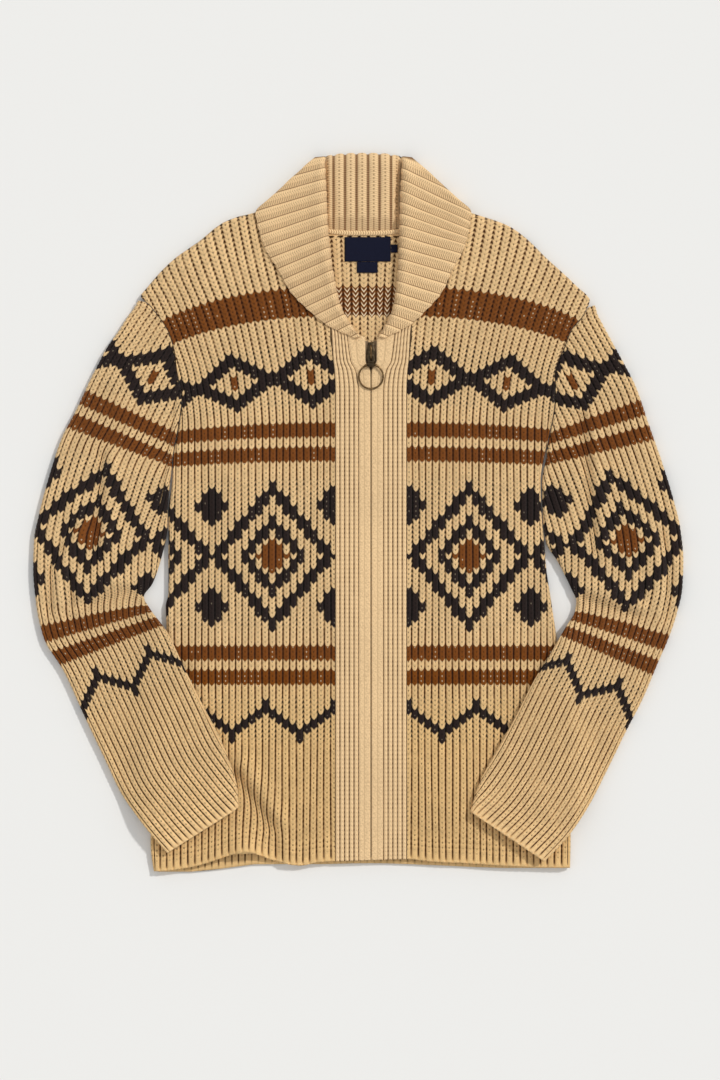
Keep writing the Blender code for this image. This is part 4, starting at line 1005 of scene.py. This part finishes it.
def make_slider(name):
    """Zip slider: a body with shoulders and a groove down either flank."""
    cloth = Cloth()
    turn = np.linspace(0, 2 * np.pi, 33)[:-1]
    body = [(158.25, 3.0, 5.4, 8.2), (158.4, 3.7, 4.8, 8.7), (158.9, 4.3, 4.3, 8.85), (160.2, 4.7, 4.2, 8.9),
            (164.5, 4.75, 4.2, 8.9), (170.0, 4.6, 4.2, 8.9), (172.2, 4.2, 4.2, 8.9), (173.6, 3.6, 4.25, 8.85),
            (175.5, 3.4, 4.3, 8.8), (178.9, 3.3, 4.3, 8.8), (179.8, 3.0, 4.6, 8.5), (180.1, 2.4, 5.2, 8.0)]
    rings = []
    for y, half, z0, z1 in body:
        c, s = np.cos(turn), np.sin(turn)
        x = half * np.sign(c) * np.abs(c) ** 0.36
        z = (z0 + z1) / 2 + (z1 - z0) / 2 * np.sign(s) * np.abs(s) ** 0.36
        x = x * (1 - 0.16 * np.exp(-((z - 6.6) / 0.8) ** 2))
        rings.append(np.stack([x, np.full(x.shape, y), z], -1))
    tube(cloth, np.array(rings))
    return cloth.build(name)


def make_bridge(name):
    """The bridge over the slider, that holds the pull tab's crossbar."""
    cloth = Cloth()
    arch = np.array([(176.6, 8.0), (176.5, 9.8), (175.7, 11.3), (174.0, 12.2), (171.5, 12.5), (168.0, 12.5),
                     (165.0, 12.3), (162.8, 11.5), (161.6, 10.2), (161.4, 8.0)])
    way = np.gradient(arch, axis=0)
    way = way / np.linalg.norm(way, axis=1, keepdims=True)
    turn = np.linspace(0, 2 * np.pi, 17)[:-1]
    rings = []
    for (y, z), (dy, dz) in zip(arch, way):
        across, up = 0.95 * np.cos(turn), 0.85 * np.sin(turn)
        rings.append(np.stack([across, y - dz * up, z + dy * up], -1))
    tube(cloth, np.array(rings))
    return cloth.build(name)


def make_ring(name):
    """The pull's round ring, thicker where it runs out of the tab's tube."""
    radius, wire, tilt = 12.85, 0.95, math.radians(3.6)
    a = np.linspace(0, 2 * np.pi, 97)[:-1]
    away = np.minimum(a, 2 * np.pi - a)
    thick = wire + 1.7 * np.exp(-(away / 0.38) ** 2) * smooth(0.33, 0.38, away)
    turn = np.linspace(0, 2 * np.pi, 17)
    r = radius + thick[:, None] * np.cos(turn)[None, :]
    x = r * np.sin(a)[:, None]
    y = -radius + 0.25 + r * np.cos(a)[:, None]
    z = thick[:, None] * np.sin(turn)[None, :]
    co = np.stack([x, 156.0 + y * math.cos(tilt) - z * math.sin(tilt), 13.2 + y * math.sin(tilt) + z * math.cos(tilt)], -1)
    cloth = Cloth()
    ids = cloth.points(co[:, :-1])
    ids = np.concatenate([ids, ids[:, :1]], 1)
    ids = np.concatenate([ids, ids[:1]])
    cloth.grid(ids, np.linspace(0, 1, 17)[None, :], np.linspace(0, 24, 97)[:, None], 0)
    return cloth.build(name)


def make_label(name, node, satin=0.0):
    """Woven label: a thin folded slip that bellies a little, held by stitches at its two ends."""
    lo, hi = [np.array(p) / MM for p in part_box(node)]
    lo, hi = lo - ORIGIN / MM, hi - ORIGIN / MM
    nx, ny = 25, 15
    s, t = np.meshgrid(np.linspace(0, 1, nx), np.linspace(0, 1, ny))
    x, y = lo[0] + (hi[0] - lo[0]) * s, lo[1] + (hi[1] - lo[1]) * t
    edge = np.minimum(np.minimum(s, 1 - s) * (hi[0] - lo[0]), np.minimum(t, 1 - t) * (hi[1] - lo[1]))
    z = hi[2] - 0.25 * np.exp(-edge / 0.6) + 0.18 * np.sin(3.2 * s + 0.6) * np.sin(np.pi * t) * smooth(0, 3, edge)
    cloth = Cloth()
    ids = cloth.points(np.stack([x, y, z], -1))
    cloth.grid(ids, s * 10, t * 10, 0)
    inner = cloth.points(np.stack([x[::ny - 1, ::nx - 1], y[::ny - 1, ::nx - 1], np.full((2, 2), lo[2] + 0.05)], -1))
    cloth.grid(inner, s[::ny - 1, ::nx - 1], t[::ny - 1, ::nx - 1], 0)
    for c in (0, -1):
        cloth.zipper(ids[:, c], t[:, 0], inner[:, c], np.array([0, 1]), np.stack([s[:, c], t[:, c]], -1) * 10, np.array([[0, 0], [0, 10]]))
    for r in (0, -1):
        cloth.zipper(ids[r], s[0], inner[r], np.array([0, 1]), np.stack([s[r], t[r]], -1) * 10, np.array([[0, 0], [10, 0]]))
    return cloth.build(name)


# ---------------------------------------------------------------- materials
class Nodes:
    """Short way to write a node tree."""

    def __init__(self, name):
        self.mat = bpy.data.materials.new(name)
        self.mat.use_nodes = True
        self.tree = self.mat.node_tree
        self.shader = self.tree.nodes["Principled BSDF"]

    def node(self, kind, **settings):
        node = self.tree.nodes.new(kind)
        for key, value in settings.items():
            setattr(node, key, value)
        return node

    def put(self, value, socket):
        if isinstance(value, bpy.types.NodeSocket):
            self.tree.links.new(value, socket)
        else:
            socket.default_value = value

    def math(self, operation, *values, clamp=False):
        node = self.node("ShaderNodeMath", operation=operation, use_clamp=clamp)
        for value, socket in zip(values, node.inputs):
            self.put(value, socket)
        return node.outputs[0]

    def range(self, value, a, b, c=0.0, d=1.0):
        node = self.node("ShaderNodeMapRange", interpolation_type="SMOOTHSTEP")
        for v, key in ((value, "Value"), (a, "From Min"), (b, "From Max"), (c, "To Min"), (d, "To Max")):
            self.put(v, node.inputs[key])
        return node.outputs["Result"]

    def mix(self, factor, a, b, blend="MIX"):
        node = self.node("ShaderNodeMix", data_type="RGBA", blend_type=blend)
        self.put(factor, node.inputs[0])
        self.put((*a, 1) if isinstance(a, tuple) and len(a) == 3 else a, node.inputs[6])
        self.put((*b, 1) if isinstance(b, tuple) and len(b) == 3 else b, node.inputs[7])
        return node.outputs[2]

    def steps(self, value, stops):
        """Ramp of flat colours."""
        node = self.node("ShaderNodeValToRGB")
        ramp = node.color_ramp
        ramp.interpolation = "CONSTANT"
        while len(ramp.elements) < len(stops):
            ramp.elements.new(1.0)
        for element, (position, colour) in zip(ramp.elements, stops):
            element.position = position
            element.color = (*colour, 1)
        self.put(value, node.inputs[0])
        return node.outputs[0]

    def noise(self, scale, detail=2.0, vector=None, rough=0.6):
        node = self.node("ShaderNodeTexNoise")
        node.inputs["Scale"].default_value = scale
        node.inputs["Detail"].default_value = detail
        node.inputs["Roughness"].default_value = rough
        if vector is None:
            vector = self.node("ShaderNodeTexCoord").outputs["Object"]
        self.put(vector, node.inputs["Vector"])
        return node.outputs["Fac"]

    def bump(self, height, distance, strength=1.0, under=None):
        node = self.node("ShaderNodeBump")
        node.inputs["Distance"].default_value = distance
        node.inputs["Strength"].default_value = strength
        self.put(height, node.inputs["Height"])
        if under is not None:
            self.put(under, node.inputs["Normal"])
        return node.outputs["Normal"]


NATURAL, BROWN, BLACK = (0.89, 0.625, 0.34), (0.215, 0.072, 0.019), (0.021, 0.012, 0.010)
CLOSE = (0.82, 0.575, 0.315)       # the natural yarn where it is knit closely
CREAM = (0.90, 0.74, 0.50)


def wool(n, colour, lay):
    """Yarn finish: matt, with loose fibres over the plies."""
    n.put(colour, n.shader.inputs["Base Color"])
    n.put(n.bump(n.noise(2600.0, 3.0), 0.0003, 0.8, lay), n.shader.inputs["Normal"])
    n.shader.inputs["Roughness"].default_value = 0.95
    n.shader.inputs["Sheen Weight"].default_value = 0.06
    n.shader.inputs["Sheen Roughness"].default_value = 0.6
    n.shader.inputs["Specular IOR Level"].default_value = 0.15
    return n.mat


def mottled(n, yarn, stitch_chance=None, low=None, rich=None):
    """The yarn's colour, uneven along the thread and from stitch to stitch."""
    tint = n.math("ADD", n.math("MULTIPLY_ADD", n.noise(9.0, 3.0), 0.24, 0.80), n.math("MULTIPLY_ADD", n.noise(1300.0, 2.0), 0.46, -0.15))
    if stitch_chance is not None:
        tint = n.math("MULTIPLY", tint, n.math("MULTIPLY_ADD", stitch_chance, 0.14, 0.93))
    if low is not None:
        tint = n.math("MULTIPLY", tint, low)
    bright = n.node("ShaderNodeHueSaturation")
    n.put((*yarn, 1) if isinstance(yarn, tuple) else yarn, bright.inputs["Color"])
    n.put(tint, bright.inputs["Value"])
    if rich is not None:
        n.put(rich, bright.inputs["Saturation"])
    return bright.outputs[0]


def knit_material(name, tone_shift, rich):
    """Wool knit: each stitch two slanted legs round an eye, with strands across the grooves; the grooves, the eyes and
    the lines between the stitches are darkened with painted shade.
    """
    n = Nodes(name)
    place = n.node("ShaderNodeSeparateXYZ")
    n.put(n.node("ShaderNodeUVMap", uv_map="knit").outputs[0], place.inputs[0])
    u, v = place.outputs[0], place.outputs[1]
    tone = n.node("ShaderNodeAttribute", attribute_name="tone").outputs["Fac"]
    fu = n.math("FRACT", u)
    fv = n.math("FRACT", v)
    d = n.math("ABSOLUTE", n.math("MULTIPLY_ADD", fu, 2.0, -1.0))
    worked = n.range(v, 1.4, 2.6)
    turn = n.math("MINIMUM", fv, n.math("SUBTRACT", 1.0, fv))
    # Each stitch bulges halfway up, so the groove beside it narrows there
    bulge = n.math("MULTIPLY", n.range(turn, 0.0, 0.5), worked)
    # The knit is stretched open by the shoulders, and where floats cross behind it
    floats = n.math("MULTIPLY", n.math("GREATER_THAN", tone, 0.2), n.math("LESS_THAN", tone, 0.6))
    opened = n.math("MAXIMUM", n.range(v, 88.0, 110.0), n.math("MULTIPLY", floats, 0.85))
    # Painted shade in the grooves between the wales, wider where the knit is opened
    valley = n.range(n.math("MULTIPLY_ADD", bulge, n.math("MULTIPLY_ADD", opened, -0.10, -0.05), d),
                     n.math("MULTIPLY_ADD", opened, -0.10, 0.65), n.math("MULTIPLY_ADD", opened, -0.06, 0.86))
    # Strands slant across the groove, with painted shade in the gaps between them
    beside = n.math("SUBTRACT", n.math("FRACT", n.math("ADD", u, 0.5)), 0.5)
    lean = n.math("FRACT", n.math("MULTIPLY_ADD", beside, 1.1, v))
    strand = n.math("MINIMUM", lean, n.math("SUBTRACT", 1.0, lean))
    spot = n.range(strand, 0.16, 0.42, 1.0, 0.0)
    which = n.node("ShaderNodeTexWhiteNoise", noise_dimensions="2D")
    cell = n.node("ShaderNodeCombineXYZ")
    n.put(n.math("FLOOR", u), cell.inputs[0])
    n.put(n.math("FLOOR", n.math("ADD", v, 0.5)), cell.inputs[1])
    n.put(cell.outputs[0], which.inputs["Vector"])
    stitch_chance = which.outputs["Value"]
    # Painted shade in each stitch's eye, stronger at some stitches than at others
    hole = n.math("SQRT", n.math("ADD", n.math("POWER", n.math("DIVIDE", d, 0.26), 2.0),
                                 n.math("POWER", n.math("DIVIDE", turn, 0.25), 2.0)))
    hole = n.range(hole, 0.35, 1.1, 1.0, 0.0)
    groove = n.math("MULTIPLY", valley, n.math("ADD", n.math("MULTIPLY_ADD", opened, -0.44, 0.94),
                                               n.math("MULTIPLY", n.math("MULTIPLY", spot, worked), n.math("MULTIPLY_ADD", opened, 0.40, 0.18))))
    # The painted shade in the furrows is uneven, as some are pulled wider than others, and it fades where the hem and
    # cuffs end in a flat welt
    uneven = n.range(n.noise(46.0, 2.0), 0.34, 0.54, 0.72, 1.0)
    groove = n.math("MULTIPLY", n.math("MULTIPLY", groove, uneven), n.range(v, 0.15, 1.1, 0.18, 1.0))
    dark = n.math("MAXIMUM", groove, n.math("MULTIPLY", n.math("MULTIPLY", hole, worked), n.math("MULTIPLY_ADD", stitch_chance, 0.42, 0.44)))
    # Painted shade where the loops of one course meet the next, and along the middle between the two legs
    part = n.math("MULTIPLY", n.range(turn, 0.0, 0.17, 1.0, 0.0), n.math("MULTIPLY", worked, n.math("MULTIPLY_ADD", opened, 0.14, 0.10)))
    dark = n.math("MAXIMUM", dark, part)
    dark = n.math("MAXIMUM", dark, n.math("MULTIPLY", n.range(d, 0.0, 0.2, 0.12, 0.0), worked))
    level = n.math("DIVIDE", tone, 5.0)
    yarn = n.steps(level, [(0.0, NATURAL), (0.1, BROWN), (0.3, BLACK), (0.5, BLACK), (0.7, BROWN)])
    # The painted shade's colour in each tone; in the rows where black floats cross behind, their own dark colour shows
    # there as well
    shade = n.steps(level, [(0.0, (0.070, 0.024, 0.0055)), (0.05, (0.022, 0.011, 0.006)), (0.1, (0.040, 0.012, 0.003)),
                            (0.3, (0.005, 0.0035, 0.003)), (0.5, (0.005, 0.0035, 0.003)), (0.7, (0.03, 0.01, 0.003))])
    # Towards the hem and cuffs the yarn's brightness and saturation change, by the amounts given for each material
    colour = n.mix(dark, mottled(n, yarn, stitch_chance, n.range(v, 2.0, 30.0, tone_shift, 1.0), n.range(v, 24.0, 48.0, rich, 1.06)), shade)
    # The natural yarn glints through the brown and black stitches at some of the eyes
    run = n.node("ShaderNodeTexWhiteNoise", noise_dimensions="2D")
    patch = n.node("ShaderNodeCombineXYZ")
    n.put(n.math("FLOOR", u), patch.inputs[0])
    n.put(n.math("FLOOR", n.math("MULTIPLY", v, 0.2)), patch.inputs[1])
    n.put(patch.outputs[0], run.inputs["Vector"])
    often = n.math("MAXIMUM", n.math("GREATER_THAN", run.outputs["Value"], 0.82), n.math("GREATER_THAN", stitch_chance, 0.93))
    show = n.math("MULTIPLY", n.range(hole, 0.35, 0.75), often)
    brown = n.math("MULTIPLY", n.math("GREATER_THAN", tone, 0.5), n.math("LESS_THAN", tone, 1.5))
    black = n.math("MULTIPLY", n.math("GREATER_THAN", tone, 1.5), n.math("LESS_THAN", tone, 2.5))
    colour = n.mix(n.math("MULTIPLY", show, n.math("MULTIPLY_ADD", brown, 0.62, n.math("MULTIPLY", black, 0.20))), colour, CREAM)
    # Inside the bands the floats show as small pale loops
    bend = n.math("ABSOLUTE", n.math("SUBTRACT", fv, n.math("MULTIPLY_ADD", d, 0.42, 0.28)))
    loop = n.math("MULTIPLY", n.range(bend, 0.10, 0.24, 1.0, 0.0), n.range(d, 0.55, 0.75, 1.0, 0.0))
    loop = n.math("MULTIPLY", loop, n.math("GREATER_THAN", tone, 2.5))
    colour = n.mix(loop, colour, CREAM)
    # Plies of the yarn, slanting along the legs
    ply = n.math("SINE", n.math("ADD", n.math("MULTIPLY", d, 16.0), n.math("MULTIPLY", v, -18.85)))
    lay = n.bump(n.math("MULTIPLY", ply, n.math("SUBTRACT", 1.0, valley)), 0.00015, 0.9)
    return wool(n, colour, lay)


def flap_material(name):
    """Collar: each rib a plain wale beside a strip of slanting stitches, then a thin furrow; the furrow, the strip and
    the lines on the wale are darkened with painted shade.
    """
    n = Nodes(name)
    place = n.node("ShaderNodeSeparateXYZ")
    n.put(n.node("ShaderNodeUVMap", uv_map="knit").outputs[0], place.inputs[0])
    u, v = place.outputs[0], place.outputs[1]
    f = n.math("FRACT", u)
    furrow = n.math("MAXIMUM", n.range(f, 0.0, 0.09, 1.0, 0.0), n.range(f, 0.93, 1.0))
    strip = n.math("MULTIPLY", n.range(f, 0.54, 0.62), n.range(f, 0.93, 0.99, 1.0, 0.0))
    stroke = n.math("FRACT", n.math("ADD", n.math("MULTIPLY", v, 1.75), n.math("MULTIPLY", f, -2.2)))
    gap = n.range(n.math("MINIMUM", stroke, n.math("SUBTRACT", 1.0, stroke)), 0.06, 0.26, 1.0, 0.0)
    # The plain wale's two legs
    leg = n.math("ABSOLUTE", n.math("SUBTRACT", f, 0.30))
    wale = n.math("FRACT", n.math("ADD", n.math("MULTIPLY", v, 1.75), n.math("MULTIPLY", leg, 3.0)))
    seam = n.range(n.math("MINIMUM", wale, n.math("SUBTRACT", 1.0, wale)), 0.0, 0.25, 0.32, 0.0)
    # Painted shade: darkest in the furrow, lighter over the lower strip and deeper in the gaps between its stitches,
    # and in lines and dots on the plain wale
    dark = n.math("MAXIMUM", n.math("MULTIPLY", furrow, 0.92), n.math("MULTIPLY", strip, n.math("MULTIPLY_ADD", gap, 0.62, 0.14)))
    dark = n.math("MAXIMUM", dark, n.math("MULTIPLY", seam, n.math("SUBTRACT", 1.0, strip)))
    dots = n.math("MULTIPLY", n.range(leg, 0.02, 0.09, 1.0, 0.0), n.range(n.math("MINIMUM", wale, n.math("SUBTRACT", 1.0, wale)), 0.1, 0.3, 1.0, 0.0))
    dark = n.math("MAXIMUM", dark, n.math("MULTIPLY", dots, 0.55))
    colour = n.mix(dark, mottled(n, NATURAL), (0.150, 0.060, 0.016))
    lay = n.bump(n.math("SINE", n.math("MULTIPLY", stroke, 6.283)), 0.0002, 0.8)
    return wool(n, colour, lay)


def stand_material(name):
    """Back of the collar, inside: round ribs whose furrows, closer at the foot, are darkened with painted shade."""
    n = Nodes(name)
    place = n.node("ShaderNodeSeparateXYZ")
    n.put(n.node("ShaderNodeUVMap", uv_map="knit").outputs[0], place.inputs[0])
    u, v = place.outputs[0], place.outputs[1]
    d = n.math("ABSOLUTE", n.math("MULTIPLY_ADD", n.math("FRACT", u), 2.0, -1.0))
    close = n.math("ABSOLUTE", n.math("MULTIPLY_ADD", n.math("FRACT", n.math("MULTIPLY", u, 2.0)), 2.0, -1.0))
    low = n.range(v, 3.0, 4.4, 1.0, 0.0)
    valley = n.math("MAXIMUM", n.range(d, 0.60, 0.92), n.math("MULTIPLY", n.range(close, 0.5, 0.95, 0.0, 0.75), low))
    across = n.math("FRACT", n.math("MULTIPLY_ADD", d, 0.7, n.math("MULTIPLY", v, 1.9)))
    gap = n.range(n.math("MINIMUM", across, n.math("SUBTRACT", 1.0, across)), 0.02, 0.28, 1.0, 0.0)
    dots = n.math("FRACT", n.math("MULTIPLY_ADD", v, 1.15, n.math("MULTIPLY", n.math("FLOOR", u), 0.37)))
    eye = n.math("MULTIPLY", n.range(d, 0.06, 0.24, 1.0, 0.0), n.range(n.math("ABSOLUTE", n.math("SUBTRACT", dots, 0.5)), 0.14, 0.36, 1.0, 0.0))
    # Painted shade in the furrows, in the gaps between the stitches and at the eyes; the whole foot is darkened a
    # little too
    dark = n.math("MULTIPLY", valley, n.math("MULTIPLY_ADD", gap, 0.22, 0.78))
    dark = n.math("MAXIMUM", dark, n.math("MULTIPLY", gap, 0.08))
    dark = n.math("MAXIMUM", dark, n.math("MULTIPLY", eye, 0.60))
    dark = n.math("MAXIMUM", dark, n.math("MULTIPLY", low, 0.22))
    colour = n.mix(dark, mottled(n, CLOSE), (0.16, 0.06, 0.016))
    lay = n.bump(n.math("SINE", n.math("MULTIPLY", across, 6.283)), 0.0002, 0.8)
    return wool(n, colour, lay)


def seam_material(name):
    """Linked seam round the neck: a row of small chain stitches."""
    n = Nodes(name)
    place = n.node("ShaderNodeSeparateXYZ")
    n.put(n.node("ShaderNodeUVMap", uv_map="knit").outputs[0], place.inputs[0])
    u, v = place.outputs[0], place.outputs[1]
    side = n.math("ABSOLUTE", n.math("SUBTRACT", v, 0.5))
    chain = n.math("FRACT", n.math("MULTIPLY_ADD", side, 1.3, u))
    # Painted shade in the gaps between the chain stitches
    gap = n.range(n.math("MINIMUM", chain, n.math("SUBTRACT", 1.0, chain)), 0.0, 0.3, 0.55, 0.0)
    colour = n.mix(gap, mottled(n, NATURAL), (0.20, 0.088, 0.026))
    return wool(n, colour, n.bump(n.math("SINE", n.math("MULTIPLY", chain, 6.283)), 0.0003, 0.9))


def band_material(name):
    """The bands: ribs beside a close, flat-knit strip."""
    n = Nodes(name)
    place = n.node("ShaderNodeSeparateXYZ")
    n.put(n.node("ShaderNodeUVMap", uv_map="knit").outputs[0], place.inputs[0])
    u, v = place.outputs[0], place.outputs[1]
    ribbed = n.math("GREATER_THAN", u, 2.94)
    d = n.math("ABSOLUTE", n.math("MULTIPLY_ADD", n.math("FRACT", u), 2.0, -1.0))
    turn = n.math("MINIMUM", n.math("FRACT", v), n.math("SUBTRACT", 1.0, n.math("FRACT", v)))
    # Painted shade in the ribs' valleys, in dots along them, in the gaps between the stitches and at their eyes
    dots = n.math("MULTIPLY", n.range(turn, 0.08, 0.36, 1.0, 0.70), n.range(n.noise(60.0, 2.0), 0.36, 0.60, 0.80, 1.0))
    valley = n.math("MULTIPLY", n.range(d, 0.58, 0.84), ribbed)
    across = n.math("FRACT", n.math("MULTIPLY_ADD", d, 0.55, v))
    gap = n.range(n.math("MINIMUM", across, n.math("SUBTRACT", 1.0, across)), 0.0, 0.25, 1.0, 0.0)
    eye = n.math("MULTIPLY", n.math("MULTIPLY", n.range(d, 0.08, 0.34, 1.0, 0.0), gap), ribbed)
    dark = n.math("MULTIPLY", valley, n.math("MULTIPLY", dots, 0.98))
    dark = n.math("MAXIMUM", dark, n.math("MULTIPLY", n.math("MULTIPLY", gap, ribbed), 0.08))
    dark = n.math("MAXIMUM", dark, n.math("MULTIPLY", eye, 0.22))
    # The strip is knit so closely that only a grain shows, with painted shade along the shallow groove down its middle
    flat = n.math("SUBTRACT", 1.0, ribbed)
    dark = n.math("MAXIMUM", dark, n.math("MULTIPLY", flat, n.range(n.noise(620.0, 2.0), 0.42, 0.68, 0.0, 0.22)))
    dark = n.math("MAXIMUM", dark, n.math("MULTIPLY", flat, n.range(n.math("ABSOLUTE", n.math("SUBTRACT", u, 1.55)), 0.0, 0.24, 0.30, 0.0)))
    colour = n.mix(dark, mottled(n, CLOSE), (0.075, 0.026, 0.006))
    lay = n.bump(n.math("SINE", n.math("MULTIPLY", across, 6.283)), 0.00015, 0.8)
    return wool(n, colour, lay)


def brass_material(name, dull, bright):
    n = Nodes(name)
    # Patches of brighter, rubbed metal at random
    tone_shift = n.range(n.noise(260.0, 4.0), 0.45, 0.7)
    n.put(n.mix(tone_shift, dull, bright), n.shader.inputs["Base Color"])
    n.put(n.range(n.noise(500.0, 3.0), 0.3, 0.7, 0.28, 0.5), n.shader.inputs["Roughness"])
    n.put(n.bump(n.noise(900.0, 2.0), 0.00006, 0.5), n.shader.inputs["Normal"])
    n.shader.inputs["Metallic"].default_value = 1.0
    return n.mat


def weave_material(name, colour, other, scale, rough, sheen=0.0):
    """Plain or satin weave of fine thread."""
    n = Nodes(name)
    place = n.node("ShaderNodeSeparateXYZ")
    n.put(n.node("ShaderNodeTexCoord").outputs["Object"], place.inputs[0])
    a = n.math("SINE", n.math("MULTIPLY", place.outputs[0], scale))
    b = n.math("SINE", n.math("MULTIPLY", place.outputs[1], scale))
    cloth = n.math("MULTIPLY", a, b)
    n.put(n.mix(n.range(n.math("ADD", n.math("MULTIPLY", cloth, 0.5), n.noise(800.0)), 0.2, 1.2), colour, other), n.shader.inputs["Base Color"])
    n.put(n.bump(cloth, 0.00008, 0.6), n.shader.inputs["Normal"])
    n.shader.inputs["Roughness"].default_value = rough
    n.shader.inputs["Sheen Weight"].default_value = sheen
    return n.mat


# ---------------------------------------------------------------- the pieces
def dress(obj, material, body="garment"):
    obj.data.materials.clear()
    obj.data.materials.append(material)
    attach(obj, body)
    return obj


knit = knit_material("wool_knit", 0.93, 1.14)
sleeve_knit = knit_material("wool_knit_sleeves", 1.035, 1.08)
flap = flap_material("wool_collar_rib")
stand = stand_material("wool_stand_rib")
seam = seam_material("wool_neck_seam")
strip = band_material("wool_band")
brass = brass_material("antique_brass", (0.060, 0.043, 0.025), (0.16, 0.112, 0.062))
# Lighter brass for the pull ring, and on the slider's bridge a painted highlight
rubbed_and_highlight = brass_material("rubbed_brass_and_painted_highlight", (0.13, 0.080, 0.036), (0.36, 0.235, 0.105))
navy = weave_material("navy_satin", (0.0040, 0.0052, 0.017), (0.008, 0.0105, 0.030), 9000.0, 0.85)
navy.node_tree.nodes["Principled BSDF"].inputs["Specular IOR Level"].default_value = 0.15
tape = weave_material("zip_tape_weave", (0.20, 0.135, 0.075), (0.34, 0.24, 0.14), 5200.0, 0.85)

fine = wale_columns(0, 35, FINE)
coarse = wale_columns(0, 35, COARSE)
pieces = {}
for name, side in (("front_right", -1), ("front_left", 1)):
    obj = make_panel(Cloth(), side, True, fine, 3, chart_body).build("knit_" + name)
    pieces[name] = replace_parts(dress(obj, knit), name)
both = Cloth()
for side in (-1, 1):
    make_panel(both, side, False, coarse, 2, chart_body, fine=False)
obj = both.build("knit_back", weld=0.01)
pieces["back"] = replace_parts(dress(obj, knit), "back")
for name, side in (("sleeve_right", -1), ("sleeve_left", 1)):
    pieces[name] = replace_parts(dress(make_sleeve("knit_" + name, side, chart_sleeve), sleeve_knit), name)
for name, side in (("band_right", -1), ("band_left", 1)):
    pieces[name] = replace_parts(dress(make_band("rib_" + name, side), strip), name)
for name, side in (("collar_flap_right", -1), ("collar_flap_left", 1)):
    pieces[name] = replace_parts(dress(make_flap(name, side), flap), "collar")
neck_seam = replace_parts(dress(make_neck_seam("collar_neck_seam"), seam), "collar")
pieces["stand"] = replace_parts(dress(make_stand("collar_stand"), stand), "collar")
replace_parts(dress(make_teeth("zip_teeth"), brass), "zip_chain")
for node in ("label_main", "label_size", "label_care"):
    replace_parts(dress(make_label("woven_" + node, node), navy), node)
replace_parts(dress(make_slider("zip_slider_body"), brass), "zip_slider")
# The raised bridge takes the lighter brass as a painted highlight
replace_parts(dress(make_bridge("zip_slider_bridge"), rubbed_and_highlight), "zip_slider")
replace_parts(dress(make_ring("zip_pull_ring"), rubbed_and_highlight, "pull_ring"), "zip_ring")
for node, material in (("zip_tape_right", tape), ("zip_tape_left", tape), ("zip_box", brass), ("zip_pull_tab", brass)):
    obj = frame["nodes"][node]
    for slot in obj.material_slots:
        slot.material = material

for name, obj in pieces.items():
    obj.data.calc_loop_triangles()

# ---------------------------------------------------------------- floor, light, camera
bpy.ops.mesh.primitive_plane_add(size=8, location=(0, 0, -0.0005))
floor = bpy.context.object
floor.name = "floor"
n = Nodes("pale_paper")
n.shader.inputs["Base Color"].default_value = (0.815, 0.815, 0.80, 1)
n.shader.inputs["Roughness"].default_value = 0.9
floor.data.materials.append(n.mat)

world = bpy.data.worlds.new("studio")
world.use_nodes = True
world.node_tree.nodes["Background"].inputs["Color"].default_value = (1.0, 1.0, 1.0, 1)
world.node_tree.nodes["Background"].inputs["Strength"].default_value = 0.66
bpy.context.scene.world = world
light = bpy.data.lights.new("key", "SUN")
light.energy = 1.75
light.angle = math.radians(4)
light.color = (1.0, 0.985, 0.96)
key = bpy.data.objects.new("key", light)
bpy.context.scene.collection.objects.link(key)
key.rotation_euler = (math.radians(-28), math.radians(38), 0)

camera = bpy.data.cameras.new("camera")
camera.lens = 100
camera.sensor_width = 36
camera.sensor_fit = "AUTO"
eye = bpy.data.objects.new("camera", camera)
bpy.context.scene.collection.objects.link(eye)
HEIGHT = 1.1448
eye.location = ((360 - 371) * 1.06 * MM + ORIGIN[0], (512 - 540) * 1.06 * MM + ORIGIN[1], HEIGHT * camera.lens / 36 + 0.010)
eye.rotation_euler = (0, 0, 0)
camera.clip_end = 100
bpy.context.scene.camera = eye
bpy.context.scene.view_settings.view_transform = "Standard"
